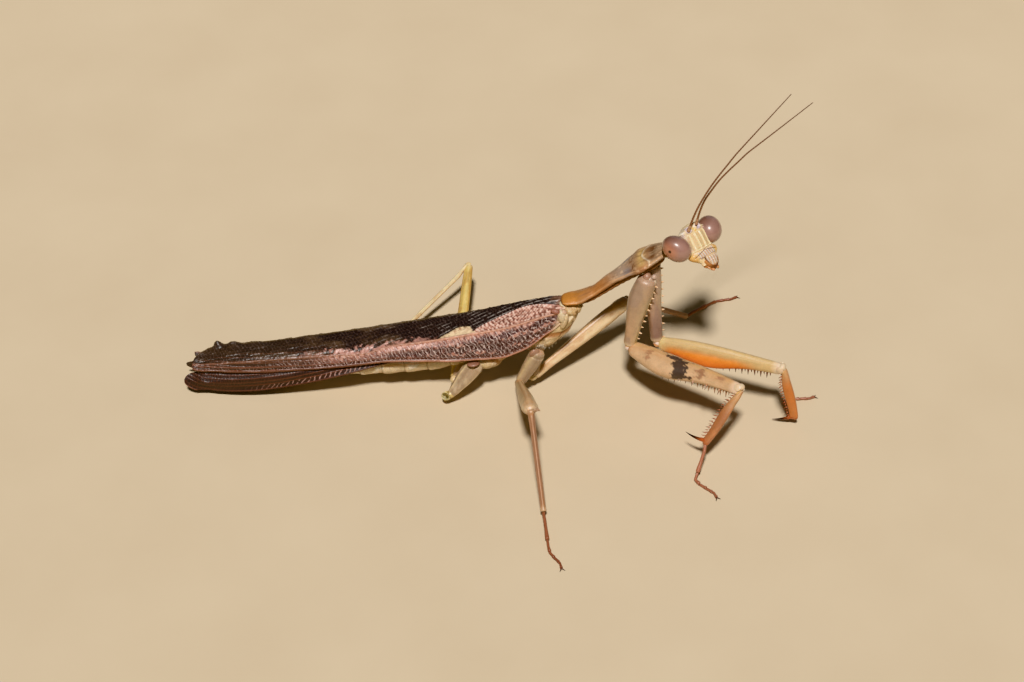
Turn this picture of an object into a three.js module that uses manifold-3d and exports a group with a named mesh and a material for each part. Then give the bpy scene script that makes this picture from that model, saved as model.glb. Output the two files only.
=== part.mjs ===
// A praying mantis at life size, brown and long winged, standing low on six legs with its front raised
// and its face turned to its right. Millimetres, +Z up, the head towards -Y, the animal's left towards +X.
import * as THREE from 'three';
import { mergeVertices } from 'three/addons/utils/BufferGeometryUtils.js';
import Module from 'manifold-3d';

const wasm = await Module();
wasm.setup();

// ---------------------------------------------------------------- driving sizes
const gap = 0.3; // clear space between neighbouring pieces
const sheet = 0.5; // thickness of a wing
const layer = sheet + gap; // depth from one folded wing to the next
const tegmenTip = 47.4; // how far behind the rear edge of the pronotum the front wings end
const hindwingTip = 48.6;
const headWidth = 8.9;
const headYaw = -50; // degrees, negative turns the face to the animal's right
const headPitch = 48; // degrees the face looks up
const headCentre = new THREE.Vector3(-0.3, -15.4, 24.6); // midway between the eyes
const footHeight = 0.26; // height of a toe's centre line over the floor
const toeRadius = 0.3;

// Lengths of the parts of a front, a middle and a hind leg.
const foreLeg = { coxa: 11.4, femur: 16.4, tibia: 7.6, heel: 4.8, toes: 3.6 };
const midLeg = { coxa: 6.2, femur: 15.6, tibia: 12.3, heel: 5.4, toes: 3.2 };
const hindLeg = { coxa: 5.4, femur: 18.7, tibia: 17.2, heel: 5.0, toes: 3.6 };

const colours = {
  eye: '#8f6f66',
  face: '#e2cba0',
  jaw: '#b4703f',
  antenna: '#7d5638',
  pronotum: '#b98a5c',
  sternum: '#6f4a33',
  pleura: '#cdb487',
  abdomen: '#c8ae82',
  tegmen: '#4c332e',
  hindwing: '#6a3f33',
  coxa: '#b39c83',
  foreFemur: '#d8b07e',
  foreTibia: '#cc8346',
  foot: '#9c6350',
  femur: '#cbb685',
  tibia: '#a67b5e',
  hindFemur: '#d7b86f',
  claw: '#3a261c',
};

const model = new THREE.Group();

// ---------------------------------------------------------------- solids
// Joins the shared corners of a closed geometry and makes a solid of it.
function solidOf(geometry) {
  const bare = geometry.clone();
  bare.deleteAttribute('normal');
  bare.deleteAttribute('uv');
  const merged = mergeVertices(bare, 1e-5);
  return new wasm.Manifold(new wasm.Mesh({
    numProp: 3,
    vertProperties: new Float32Array(merged.attributes.position.array),
    triVerts: new Uint32Array(merged.index.array),
  }));
}

function geometryOf(solid) {
  const mesh = solid.getMesh();
  const geometry = new THREE.BufferGeometry();
  geometry.setAttribute('position', new THREE.BufferAttribute(new Float32Array(mesh.vertProperties), 3));
  geometry.setIndex(new THREE.BufferAttribute(new Uint32Array(mesh.triVerts), 1));
  return geometry;
}

// The largest body of a solid, without the crumbs that a cut can leave.
function mainBody(solid) {
  return solid.decompose().reduce((best, next) => (next.volume() > best.volume() ? next : best));
}

function cut(solid, ...cutters) {
  return mainBody(cutters.reduce((left, cutter) => left.subtract(cutter), solid));
}

function join(...solids) {
  return solids.reduce((whole, next) => whole.add(next));
}

// A closed tube of elliptical sections. Each section is [t, half width, half height, lift]: t runs from
// 0 to 1 along the path, height is measured along up, and lift moves the section along up. grow
// thickens the tube all round and lengthens both ends, for cutting a neighbour clear of it.
function tube(path, up, sections, { sides = 10, grow = 0 } = {}) {
  const last = sections.length - 1;
  const rings = sections.map((section, row) => new THREE.Vector2(1, row / last));
  const profile = [new THREE.Vector2(0, 0), ...rings, new THREE.Vector2(0, 1)];
  const geometry = new THREE.LatheGeometry(profile, sides);
  const position = geometry.attributes.position;
  const point = new THREE.Vector3();
  for (let i = 0; i < position.count; i += 1) {
    point.fromBufferAttribute(position, i);
    const row = Math.round(point.y * last);
    const [t, halfWidth, halfHeight, lift = 0] = sections[row];
    const tangent = path.getTangent(t);
    const side = new THREE.Vector3().crossVectors(tangent, up).normalize();
    const rise = new THREE.Vector3().crossVectors(side, tangent);
    const end = row === 0 ? -grow : row === last ? grow : 0;
    const place = path.getPoint(t)
      .addScaledVector(tangent, end)
      .addScaledVector(side, point.x * (halfWidth + grow))
      .addScaledVector(rise, point.z * (halfHeight + grow) + lift);
    position.setXYZ(i, place.x, place.y, place.z);
  }
  return solidOf(geometry);
}

function ball(centre, radii, { grow = 0, around = 8 } = {}) {
  const geometry = new THREE.SphereGeometry(1, around, around - 3);
  geometry.scale(radii.x + grow, radii.y + grow, radii.z + grow);
  geometry.translate(centre.x, centre.y, centre.z);
  return solidOf(geometry);
}

// A slim cone from its root towards direction, for a spine or a claw.
function spine(root, direction, length, radius, sides = 5) {
  const geometry = new THREE.ConeGeometry(radius, length, sides);
  geometry.translate(0, length / 2, 0);
  const turn = new THREE.Quaternion().setFromUnitVectors(new THREE.Vector3(0, 1, 0), direction);
  geometry.applyQuaternion(turn);
  geometry.translate(root.x, root.y, root.z);
  return solidOf(geometry);
}

function vector(x, y, z) {
  return new THREE.Vector3(x, y, z);
}

// A copy of start, moved along each direction by its distance.
function from(start, ...steps) {
  const spot = start.clone();
  steps.forEach(([direction, distance]) => spot.addScaledVector(direction, distance));
  return spot;
}

function line(start, end) {
  return new THREE.LineCurve3(start, end);
}

function curve(...points) {
  return new THREE.CatmullRomCurve3(points);
}

// A unit direction. Heading 0 is straight ahead and 90 is to the animal's left, pitch is above level.
function aim(heading, pitch) {
  const h = THREE.MathUtils.degToRad(heading);
  const p = THREE.MathUtils.degToRad(pitch);
  return vector(Math.sin(h) * Math.cos(p), -Math.cos(h) * Math.cos(p), Math.sin(p));
}

// Puts a solid made in the model's frame into a group, as a named mesh.
function place(group, name, solid, colour, roughness = 0.5) {
  group.updateMatrixWorld(true);
  const geometry = geometryOf(solid);
  geometry.applyMatrix4(group.matrixWorld.clone().invert());
  const material = new THREE.MeshStandardMaterial({ color: colour, roughness, metalness: 0 });
  const mesh = new THREE.Mesh(geometry, material);
  mesh.name = name;
  group.add(mesh);
  return mesh;
}

const upward = vector(0, 0, 1);

// ---------------------------------------------------------------- head
// The head is laid out with its own axes, x to its left, -y out of the face and z to the crown.
const head = new THREE.Group();
head.position.copy(headCentre);
head.rotation.set(THREE.MathUtils.degToRad(-headPitch), 0, THREE.MathUtils.degToRad(headYaw), 'ZXY');
model.add(head);
head.updateMatrixWorld(true);

function onHead(solid) {
  const geometry = geometryOf(solid);
  geometry.applyMatrix4(head.matrixWorld);
  return solidOf(geometry);
}

// Each eye is an egg: its long axis leans so that its lower end is the nearer to the mouth.
const eyeRadii = vector(1.42, 1.62, 1.9);
const eyeLean = THREE.MathUtils.degToRad(30);
const eyeOffset = headWidth / 2 - 1.52;

function eyeball(side, grow = 0) {
  const geometry = new THREE.SphereGeometry(1, 13, 9);
  geometry.scale(eyeRadii.x + grow, eyeRadii.y + grow, eyeRadii.z + grow);
  geometry.rotateY(side * eyeLean);
  geometry.translate(side * eyeOffset, 0, 0);
  return solidOf(geometry);
}

// The shell of the head, from the mouth up between the eyes: [height, half width, half depth].
function headShell(grow = 0) {
  const low = -3.5;
  const high = 2.05;
  const outline = [
    [low, 0.7, 0.35],
    [-3.25, 1.15, 0.55],
    [-2.9, 1.65, 0.75],
    [-2.4, 2.1, 0.9],
    [-1.7, 2.35, 1.0],
    [-0.9, 2.3, 1.05],
    [0.2, 2.5, 1.15],
    [1.1, 2.7, 1.05],
    [1.6, 2.3, 0.85],
    [high, 1.3, 0.4],
  ];
  const sections = outline.map(([z, width, depth]) => [(z - low) / (high - low), width, depth]);
  const path = line(vector(0, 0.1, low), vector(0, 0.25, high));
  return tube(path, vector(0, 1, 0), sections, { sides: 14, grow });
}

function lipPlate(grow = 0) {
  const sections = [
    [0, 0.5, 0.28],
    [0.12, 0.85, 0.36],
    [0.5, 1.15, 0.42],
    [0.85, 1.2, 0.42],
    [1, 1.05, 0.3],
  ];
  return tube(line(vector(0, -0.5, -4.05), vector(0, -0.82, -1.55)), vector(0, 1, 0), sections, { grow });
}

function jawBlock(grow = 0) {
  const sections = [
    [0, 0.4, 0.3],
    [0.2, 0.75, 0.5],
    [0.6, 0.95, 0.6],
    [1, 0.8, 0.5],
  ];
  const path = line(vector(0, 0.3, -4.4), vector(0, 0.35, -2.9));
  const jaws = tube(path, vector(0, 1, 0), sections, { grow });
  const palps = [-1, 1].map((side) => {
    const reach = curve(
      vector(side * 0.6, 0.2, -3.6),
      vector(side * 0.75, -0.35, -4.2),
      vector(side * 0.35, -0.75, -4.5),
    );
    const taper = [[0, 0.28, 0.28], [0.5, 0.27, 0.27], [1, 0.2, 0.2]];
    return tube(reach, vector(0, 1, 0), taper, { sides: 5, grow });
  });
  return join(jaws, ...palps);
}

// The three simple eyes, low beads between the feelers' roots and above them.
function ocelli(grow = 0) {
  const places = [[0, 1.35], [-0.5, 1.75], [0.5, 1.75]];
  const radii = vector(0.28, 0.28, 0.24);
  return join(...places.map(([x, z]) => ball(vector(x, -0.78, z), radii, { grow })));
}

const lip = lipPlate();
const jaws = cut(jawBlock(), lipPlate(gap));
const eyesGrown = join(eyeball(-1, gap), eyeball(1, gap));
const crown = cut(join(headShell(), ocelli()), eyesGrown, lipPlate(gap), jawBlock(gap));
place(head, 'head', onHead(crown), colours.face, 0.45);
place(head, 'labrum', onHead(lip), colours.face, 0.45);
place(head, 'jaws', onHead(jaws), colours.jaw, 0.5);
place(head, 'eye_right', onHead(eyeball(-1)), colours.eye, 0.15);
place(head, 'eye_left', onHead(eyeball(1)), colours.eye, 0.15);
const headGrown = onHead(join(headShell(gap), ocelli(gap), eyesGrown));

// The feelers leave the face between the eyes, climb steeply and then lean forward.
const antennaLength = 22;
const antennaRoot = vector(1.0, -0.75, 1.1);
const antennaSections = [
  [0, 0.38, 0.38],
  [0.05, 0.4, 0.4],
  [0.08, 0.27, 0.27],
  [0.2, 0.26, 0.26],
  [0.35, 0.26, 0.26],
  [0.55, 0.25, 0.25],
  [1, 0.25, 0.25],
];

// A feeler's line from its root: its pitch falls from startPitch to endPitch, quickly at first.
function antennaPath(root, heading, startPitch, endPitch) {
  const steps = 7;
  const points = [root];
  for (let step = 0; step < steps; step += 1) {
    const left = 1 - (step + 0.5) / steps;
    const direction = aim(heading, endPitch + (startPitch - endPitch) * left ** 3);
    points.push(from(points[step], [direction, antennaLength / steps]));
  }
  return curve(...points);
}

for (const [name, side, heading, startPitch, endPitch] of [
  ['right', -1, 22, 80, 45],
  ['left', 1, 13, 92, 38],
]) {
  const root = antennaRoot.clone();
  root.x *= side;
  root.applyMatrix4(head.matrixWorld);
  const path = antennaPath(root, heading, startPitch, endPitch);
  const antenna = cut(tube(path, vector(1, 0, 0), antennaSections, { sides: 6 }), headGrown);
  place(model, `antenna_${name}`, antenna, colours.antenna, 0.6);
}

// ---------------------------------------------------------------- prothorax and neck
// The pronotum lies level over the wing roots, climbs and swells above the front legs.
const pronotumPath = curve(
  vector(0, 0.9, 14.75),
  vector(0, -2.2, 15.4),
  vector(0, -5.1, 17.75),
  vector(0.05, -8.4, 20.85),
  vector(-0.1, -11.9, 22.9),
);

function pronotum(grow = 0) {
  const sections = [
    [0, 0.9, 0.3],
    [0.05, 1.25, 0.6],
    [0.18, 1.2, 0.75],
    [0.35, 0.85, 0.62],
    [0.55, 0.95, 0.66],
    [0.68, 1.5, 0.85],
    [0.77, 2.15, 0.98],
    [0.86, 1.95, 0.95],
    [0.96, 1.45, 0.75],
    [1, 1.0, 0.45],
  ];
  return tube(pronotumPath, upward, sections, { sides: 12, grow });
}

function prosternum(grow = 0) {
  const path = curve(
    vector(0, -1.4, 14.0),
    vector(0, -4.9, 16.4),
    vector(0.05, -8.0, 19.3),
    vector(-0.1, -11.6, 21.6),
  );
  const sections = [
    [0, 0.5, 0.3],
    [0.1, 0.75, 0.55],
    [0.45, 0.72, 0.6],
    [0.7, 1.35, 0.75],
    [0.88, 1.4, 0.8],
    [1, 0.9, 0.45],
  ];
  return tube(path, upward, sections, { grow });
}

const shield = pronotum();
const shieldGrown = pronotum(gap);
const keel = cut(prosternum(), shieldGrown);
const keelGrown = prosternum(gap);
place(model, 'pronotum', shield, colours.pronotum, 0.45);
place(model, 'prosternum', keel, colours.sternum, 0.5);

const neckPath = line(vector(-0.1, -11.6, 22.5), vector(-0.2, -14.9, 24.3));
const neck = tube(neckPath, upward, [[0, 0.85, 0.8], [0.5, 0.95, 0.9], [1, 0.9, 0.9]]);
place(model, 'neck', cut(neck, shieldGrown, keelGrown, headGrown), colours.pleura, 0.6);

// ---------------------------------------------------------------- wing-bearing thorax and abdomen
function mesothorax(grow = 0) {
  const path = curve(vector(0, -1.3, 13.0), vector(0, 0.6, 11.4), vector(0, 3.2, 9.0), vector(0, 6.2, 8.7));
  const sections = [
    [0, 0.8, 0.7],
    [0.15, 1.35, 1.35],
    [0.4, 1.75, 1.75],
    [0.65, 1.9, 2.0],
    [0.9, 1.8, 1.6],
    [1, 1.5, 1.2],
  ];
  return tube(path, upward, sections, { sides: 12, grow });
}

function metathorax(grow = 0) {
  const sections = [
    [0, 1.5, 1.1],
    [0.12, 1.8, 1.5],
    [0.5, 1.9, 1.85],
    [0.88, 1.7, 1.6],
    [1, 1.3, 1.2],
  ];
  return tube(line(vector(0, 6.2, 8.2), vector(0, 12.4, 6.2)), upward, sections, { sides: 12, grow });
}

// The abdomen swells behind its root and narrows to its tip, with a step where each plate ends.
function abdomen(grow = 0) {
  const path = curve(vector(0, 12.3, 6.1), vector(0, 18, 5.0), vector(0, 28, 4.1), vector(0, 38.8, 3.5));
  const sections = [[0, 1.2, 1.1]];
  const plates = 8;
  const step = 0.95;
  for (let plate = 0; plate < plates; plate += 1) {
    const start = 0.03 + (0.94 * plate) / plates;
    const end = start + 0.1;
    const swell = (t) => Math.sqrt(Math.sin(Math.PI * (0.2 + 0.76 * t)));
    sections.push([start, 1.9 * swell(start) * step, 1.62 * swell(start) * step]);
    sections.push([end, 1.9 * swell(end), 1.62 * swell(end)]);
  }
  sections.push([1, 0.4, 0.35]);
  return tube(path, upward, sections, { sides: 12, grow });
}

const mesoGrown = mesothorax(gap);
const metaGrown = metathorax(gap);
const meso = cut(mesothorax(), shieldGrown, keelGrown);
const meta = cut(metathorax(), mesoGrown);
const belly = cut(abdomen(), metaGrown);
const bellyGrown = abdomen(gap);
place(model, 'mesothorax', meso, colours.pleura, 0.55);
place(model, 'metathorax', meta, colours.pleura, 0.55);
place(model, 'abdomen', belly, colours.abdomen, 0.55);

for (const [name, side] of [['right', -1], ['left', 1]]) {
  const path = line(vector(side * 0.4, 37.6, 3.4), vector(side * 0.5, 41.4, 3.0));
  const cercus = tube(path, upward, [[0, 0.3, 0.3], [0.5, 0.3, 0.28], [1, 0.25, 0.25]], { sides: 6 });
  place(model, `cercus_${name}`, cut(cercus, bellyGrown), colours.abdomen, 0.6);
}

// ---------------------------------------------------------------- wings
// Sections of the folded wings, root to tip: how far behind the pronotum's edge, half the width of the
// flat top and its height, then where the outer edges of the front and the hind wing lie, out and up.
const wingSections = [
  { y: 0.9, top: 1.1, ridge: 13.9, rim: [1.35, 13.3], fan: [0.7, 11.9] },
  { y: 2.6, top: 1.7, ridge: 13.0, rim: [2.3, 11.6], fan: [1.3, 11.0] },
  { y: 4.4, top: 2.0, ridge: 12.5, rim: [2.75, 9.9], fan: [1.9, 10.2] },
  { y: 7.5, top: 2.2, ridge: 11.8, rim: [2.95, 8.3], fan: [2.1, 9.2] },
  { y: 12.5, top: 2.3, ridge: 10.7, rim: [3.05, 7.1], fan: [2.2, 8.0] },
  { y: 21.0, top: 2.3, ridge: 8.95, rim: [3.05, 7.0], fan: [2.3, 6.6] },
  { y: 27.0, top: 1.95, ridge: 8.0, rim: [2.8, 6.4], fan: [2.95, 4.9] },
  { y: 33.0, top: 1.7, ridge: 7.1, rim: [2.45, 5.7], fan: [2.85, 2.9] },
  { y: 39.0, top: 1.6, ridge: 6.3, rim: [2.2, 5.2], fan: [2.7, 1.4] },
  { y: 43.5, top: 1.6, ridge: 5.7, rim: [2.0, 4.8], fan: [2.4, 1.1] },
  { y: 46.0, top: 1.5, ridge: 5.2, rim: [1.7, 4.5], fan: [2.0, 1.1] },
  { y: 48.6, top: 1.4, ridge: 4.6, rim: [1.5, 4.0], fan: [1.5, 1.2] },
];
const wingRoot = wingSections[0].y;
const hindwingRoot = 12.5;

function wingSection(y) {
  const next = Math.max(1, wingSections.findIndex((section) => section.y >= y - 1e-6));
  const low = wingSections[next - 1];
  const high = wingSections[next];
  const mix = (a, b) => THREE.MathUtils.mapLinear(y, low.y, high.y, a, b);
  return {
    top: mix(low.top, high.top),
    ridge: mix(low.ridge, high.ridge),
    rim: [mix(low.rim[0], high.rim[0]), mix(low.rim[1], high.rim[1])],
    fan: [mix(low.fan[0], high.fan[0]), mix(low.fan[1], high.fan[1])],
  };
}

// The folded line of a front wing across the body, from its outer edge over its ridge to its inner edge.
// depth is how far its flat top lies under the uppermost wing, reach how far past the middle it goes.
function frontFold(section, depth, reach) {
  const ridgeX = section.top - depth;
  const ridgeZ = section.ridge - depth;
  const crown = ridgeZ + 0.2;
  return [
    [section.rim[0], section.rim[1]],
    [(section.rim[0] + ridgeX) / 2 + 0.25, (section.rim[1] + ridgeZ) / 2 + 0.2],
    [ridgeX, ridgeZ],
    [ridgeX * (0.5 - 0.5 * reach), crown],
    [-ridgeX * reach, ridgeZ],
  ];
}

// The same for a hind wing, a sheet that hangs under both front wings and fans out towards its tip.
function hindFold(section) {
  const crest = [Math.max(section.top - 2 * layer, layer), section.ridge - 2 * layer];
  const middle = [(section.fan[0] + crest[0]) / 2 + 0.15, (section.fan[1] + crest[1]) / 2 + 0.15];
  return [section.fan, middle, crest];
}

// A wing is a thin box bent along its fold lines. Its tip draws in to a rounded end at tipHeight.
function wing(side, root, tip, tipHeight, foldOf) {
  const across = 6;
  const along = 11;
  const roundEnd = 3.4;
  const geometry = new THREE.BoxGeometry(1, 1, 1, across, along, 1);
  const position = geometry.attributes.position;
  for (let i = 0; i < position.count; i += 1) {
    const u = position.getX(i) + 0.5;
    const v = Math.sin((position.getY(i) + 0.5) * 0.5 * Math.PI);
    const inner = position.getZ(i) < 0 ? 1 : 0;
    const y = THREE.MathUtils.lerp(root, tip, v);
    const closing = Math.sqrt(THREE.MathUtils.clamp((tip - y) / roundEnd, 0.05, 1));
    const fold = foldOf(wingSection(y)).map(
      ([x, z]) => new THREE.Vector2(x, THREE.MathUtils.lerp(tipHeight, z, closing)),
    );
    const line = new THREE.SplineCurve(fold);
    const spot = line.getPoint(u);
    const heading = line.getTangent(u);
    spot.x -= inner * sheet * heading.y;
    spot.y += inner * sheet * heading.x;
    position.setXYZ(i, side * spot.x, y, spot.y);
  }
  return solidOf(side > 0 ? turnedRound(geometry) : geometry);
}

// Swaps two corners of every triangle, for a shape mirrored inside out.
function turnedRound(geometry) {
  const index = geometry.index;
  for (let i = 0; i < index.count; i += 3) {
    const first = index.getX(i);
    index.setX(i, index.getX(i + 1));
    index.setX(i + 1, first);
  }
  return geometry;
}

const bodyGrown = [shieldGrown, mesoGrown, metaGrown, bellyGrown];
const rightTegmen = wing(-1, wingRoot, tegmenTip, 4.6, (section) => frontFold(section, 0, 0.94));
const leftTegmen = wing(1, wingRoot, tegmenTip, 3.8, (section) => frontFold(section, layer, 0.1));
place(model, 'tegmen_right', cut(rightTegmen, ...bodyGrown), colours.tegmen, 0.4);
place(model, 'tegmen_left', cut(leftTegmen, ...bodyGrown), colours.tegmen, 0.4);
for (const [name, side] of [['right', -1], ['left', 1]]) {
  const hindwing = wing(side, hindwingRoot, hindwingTip, 1.8, hindFold);
  place(model, `hindwing_${name}`, cut(hindwing, ...bodyGrown), colours.hindwing, 0.45);
}

// ---------------------------------------------------------------- legs
// The floor, as a block whose top face is z = 0: feet are cut flat on it.
const floor = solidOf(new THREE.BoxGeometry(200, 200, 10).translate(0, 0, -5));

// Makes a leg in a group at its hip. sizes holds the lengths; stance holds a heading and a pitch in
// degrees for each part; shape gives the sections of the coxa, femur, tibia and foot.
function leg(name, hip, sizes, stance, shape, rootCutters) {
  const group = new THREE.Group();
  group.position.copy(hip);
  model.add(group);
  const parts = ['coxa', 'femur', 'tibia', 'heel', 'toes'];
  const joints = [hip];
  const along = {};
  for (const part of parts) {
    along[part] = aim(...stance[part]);
    const start = joints[joints.length - 1];
    joints.push(start.clone().addScaledVector(along[part], sizes[part]));
  }
  const [, trochanter, knee, ankle, heelEnd, toeEnd] = joints;
  heelEnd.z = footHeight;
  toeEnd.z = footHeight;

  // The flexor side of the femur and of the tibia: where each folds towards the other.
  const femurInner = along.tibia.clone().addScaledVector(along.femur, -along.tibia.dot(along.femur));
  const tibiaInner = along.femur.clone().addScaledVector(along.tibia, -along.femur.dot(along.tibia));
  femurInner.normalize();
  tibiaInner.normalize().negate();
  const broad = new THREE.Vector3().crossVectors(along.femur, femurInner).normalize();

  const coxaUp = new THREE.Vector3().crossVectors(along.coxa, broad).normalize();
  const coxaTube = (grow) => tube(line(hip, trochanter), coxaUp, shape.coxa, { sides: 8, grow });
  const femurTube = (grow) => tube(line(trochanter, knee), femurInner, shape.femur, { sides: 8, grow });
  const tibiaTube = (grow) => tube(line(knee, ankle), tibiaInner, shape.tibia, { sides: 8, grow });
  const footPath = curve(ankle, heelEnd, toeEnd);
  const bend = sizes.heel / (sizes.heel + sizes.toes);
  const foot = tube(footPath, upward, shape.foot(bend), { sides: 6 });
  const claws = [-1, 1].map((side) => {
    const direction = along.toes.clone().applyAxisAngle(upward, side * 0.5);
    direction.z = -0.1;
    return spine(toeEnd.clone().addScaledVector(along.toes, -0.15), direction.normalize(), 0.9, 0.24);
  });

  const extras = shape.extras({ trochanter, knee, ankle, along, femurInner, tibiaInner, broad, sizes });
  place(group, `${name}_coxa`, cut(coxaTube(0), ...rootCutters), shape.colours[0]);
  const femur = cut(join(femurTube(0), ...extras.femur), coxaTube(gap));
  place(group, `${name}_femur`, femur, shape.colours[1]);
  const tibia = cut(join(tibiaTube(0), ...extras.tibia), femurTube(gap));
  place(group, `${name}_tibia`, tibia, shape.colours[2]);
  place(group, `${name}_tarsus`, cut(join(foot, ...claws), tibiaTube(gap), floor), shape.colours[3], 0.6);
}

// The foot narrows at each of its joints; its last parts are short.
function footSections(bend) {
  const radius = toeRadius;
  return [
    [0, radius, radius],
    [bend * 0.9, radius * 0.92, radius * 0.92],
    [bend, radius * 1.1, radius],
    [bend + (1 - bend) * 0.45, radius * 0.95, radius],
    [bend + (1 - bend) * 0.7, radius * 1.1, radius],
    [1, radius * 0.9, radius],
  ];
}

// Front legs grip: two rows of spines under the femur, a comb and a hooked spur on the tibia.
const foreShape = {
  colours: [colours.coxa, colours.foreFemur, colours.foreTibia, colours.foot],
  coxa: [
    [0, 0.6, 0.7],
    [0.05, 0.85, 1.05],
    [0.35, 0.8, 1.0],
    [0.75, 0.65, 0.75],
    [0.94, 0.65, 0.72],
    [1, 0.4, 0.45],
  ],
  femur: [
    [0, 0.45, 0.5],
    [0.06, 0.7, 0.85, 0.1],
    [0.2, 0.8, 1.3, 0.1],
    [0.4, 0.78, 1.35],
    [0.7, 0.68, 1.05, -0.1],
    [0.93, 0.6, 0.85],
    [1, 0.4, 0.5],
  ],
  tibia: [
    [0, 0.4, 0.4],
    [0.12, 0.5, 0.6],
    [0.5, 0.5, 0.72],
    [0.85, 0.42, 0.62],
    [1, 0.3, 0.35],
  ],
  foot: footSections,
  extras({ trochanter, knee, ankle, along, femurInner, tibiaInner, broad, sizes }) {
    const femur = [];
    const tibia = [];
    const femurSpines = 6;
    for (let i = 0; i < femurSpines; i += 1) {
      const t = 0.3 + (0.56 * i) / (femurSpines - 1);
      for (const side of [-1, 1]) {
        const depth = 0.65 - 0.7 * Math.max(0, t - 0.4);
        const spot = from(trochanter, [along.femur, t * sizes.femur], [femurInner, depth]);
        const direction = from(femurInner, [along.femur, 0.25], [broad, side * 0.3]);
        femur.push(spine(from(spot, [broad, side * 0.35]), direction.normalize(), 1.5, 0.25, 4));
      }
    }
    const combTeeth = 6;
    for (let i = 0; i < combTeeth; i += 1) {
      const t = 0.24 + (0.62 * i) / (combTeeth - 1);
      for (const side of [-1, 1]) {
        const root = from(knee, [along.tibia, t * sizes.tibia], [tibiaInner, 0.2], [broad, side * 0.22]);
        const direction = from(tibiaInner, [along.tibia, 0.75], [broad, side * 0.2]);
        tibia.push(spine(root, direction.normalize(), 1.2, 0.22, 4));
      }
    }
    const spurPath = curve(
      from(ankle, [along.tibia, -0.8], [tibiaInner, 0.1]),
      from(ankle, [along.tibia, 0.05], [tibiaInner, 0.7]),
      from(ankle, [along.tibia, -0.1], [tibiaInner, 2.3]),
    );
    const spurSections = [[0, 0.3, 0.3], [0.35, 0.36, 0.34], [0.7, 0.22, 0.22], [1, 0.05, 0.05]];
    tibia.push(tube(spurPath, broad, spurSections, { sides: 6 }));
    return { femur, tibia };
  },
};

// Walking legs are plain rods; small lobes stand out on both sides of the middle knees.
function walkingShape({ coxaRadius, femurSections, tibiaRadius, lobe, legColours }) {
  return {
    colours: legColours,
    coxa: [
      [0, coxaRadius * 0.8, coxaRadius * 0.8],
      [0.1, coxaRadius, coxaRadius],
      [0.5, coxaRadius * 0.92, coxaRadius * 0.92],
      [0.9, coxaRadius * 0.72, coxaRadius * 0.72],
      [1, coxaRadius * 0.4, coxaRadius * 0.4],
    ],
    femur: femurSections,
    tibia: [
      [0, tibiaRadius * 1.1, tibiaRadius * 1.2],
      [0.06, tibiaRadius * 1.25, tibiaRadius * 1.35],
      [0.2, tibiaRadius, tibiaRadius * 1.05],
      [0.9, tibiaRadius * 0.95, tibiaRadius],
      [1, tibiaRadius * 0.95, tibiaRadius * 0.95],
    ],
    foot: footSections,
    extras({ knee, along, broad, femurInner }) {
      const femur = [];
      for (const side of [-1, 1]) {
        const root = from(knee, [along.femur, -1.1], [broad, side * 0.35]);
        const direction = from(along.femur, [femurInner, 0.25], [broad, side * 0.3]);
        femur.push(spine(root, direction.normalize(), lobe, 0.42, 6));
      }
      return { femur, tibia: [] };
    },
  };
}

const midShape = walkingShape({
  coxaRadius: 0.95,
  femurSections: [[0, 0.4, 0.45], [0.05, 0.55, 0.65], [0.35, 0.6, 0.78], [0.8, 0.6, 0.85], [1, 0.45, 0.5]],
  tibiaRadius: 0.33,
  lobe: 2.1,
  legColours: [colours.coxa, colours.femur, colours.tibia, colours.foot],
});
const hindShape = walkingShape({
  coxaRadius: 0.85,
  femurSections: [[0, 0.4, 0.45], [0.05, 0.52, 0.6], [0.3, 0.55, 0.7], [0.8, 0.48, 0.62], [1, 0.4, 0.5]],
  tibiaRadius: 0.28,
  lobe: 1.6,
  legColours: [colours.coxa, colours.hindFemur, colours.hindFemur, colours.foot],
});

const chest = [shieldGrown, keelGrown];
const trunk = [mesoGrown, metaGrown, bellyGrown];

leg('fore_right', vector(-1.5, -9.9, 19.6), foreLeg, {
  coxa: [-174, -79],
  femur: [-36, 4],
  tibia: [-139, -47],
  heel: [-119, -50],
  toes: [-46, 0],
}, foreShape, chest);
leg('fore_left', vector(1.1, -10.3, 19.8), foreLeg, {
  coxa: [-69, -77],
  femur: [-20, 1],
  tibia: [-20, -74],
  heel: [103, -17],
  toes: [8, 0],
}, foreShape, chest);
leg('mid_right', vector(-1.9, 3.5, 7.8), midLeg, {
  coxa: [-180, -65],
  femur: [-84, 30],
  tibia: [-80, -44],
  heel: [-85, -10],
  toes: [-58, 0],
}, midShape, trunk);
leg('mid_left', vector(1.9, 3.5, 7.8), midLeg, {
  coxa: [-107, -64],
  femur: [31, 25],
  tibia: [35, -38],
  heel: [47, -13],
  toes: [15, 0],
}, midShape, trunk);
leg('hind_left', vector(1.9, 11.4, 5.8), hindLeg, {
  coxa: [-137, -44],
  femur: [85, 10],
  tibia: [-133, -15],
  heel: [173, -3],
  toes: [167, 0],
}, hindShape, trunk);

// The right hind leg was lost long ago and healed: a short round stump closes the end of its coxa.
const stumpLength = 1.5;
const lostHip = vector(-2.0, 11.4, 5.8);
const lostAlong = aim(-154, -47);
const lostEnd = from(lostHip, [lostAlong, hindLeg.coxa]);
const stumpEnd = from(lostEnd, [aim(-165, -25), stumpLength]);
const lostCoxa = (grow) => tube(line(lostHip, lostEnd), upward, hindShape.coxa, { sides: 8, grow });
const stumpSections = [[0, 0.4, 0.4], [0.3, 0.65, 0.65], [0.75, 0.7, 0.7], [1, 0.45, 0.45]];
const stump = tube(line(lostEnd, stumpEnd), upward, stumpSections, { sides: 8 });
place(model, 'hind_right_coxa', cut(lostCoxa(0), ...trunk), colours.coxa);
place(model, 'hind_right_stump', cut(stump, lostCoxa(gap)), colours.hindFemur);

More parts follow.
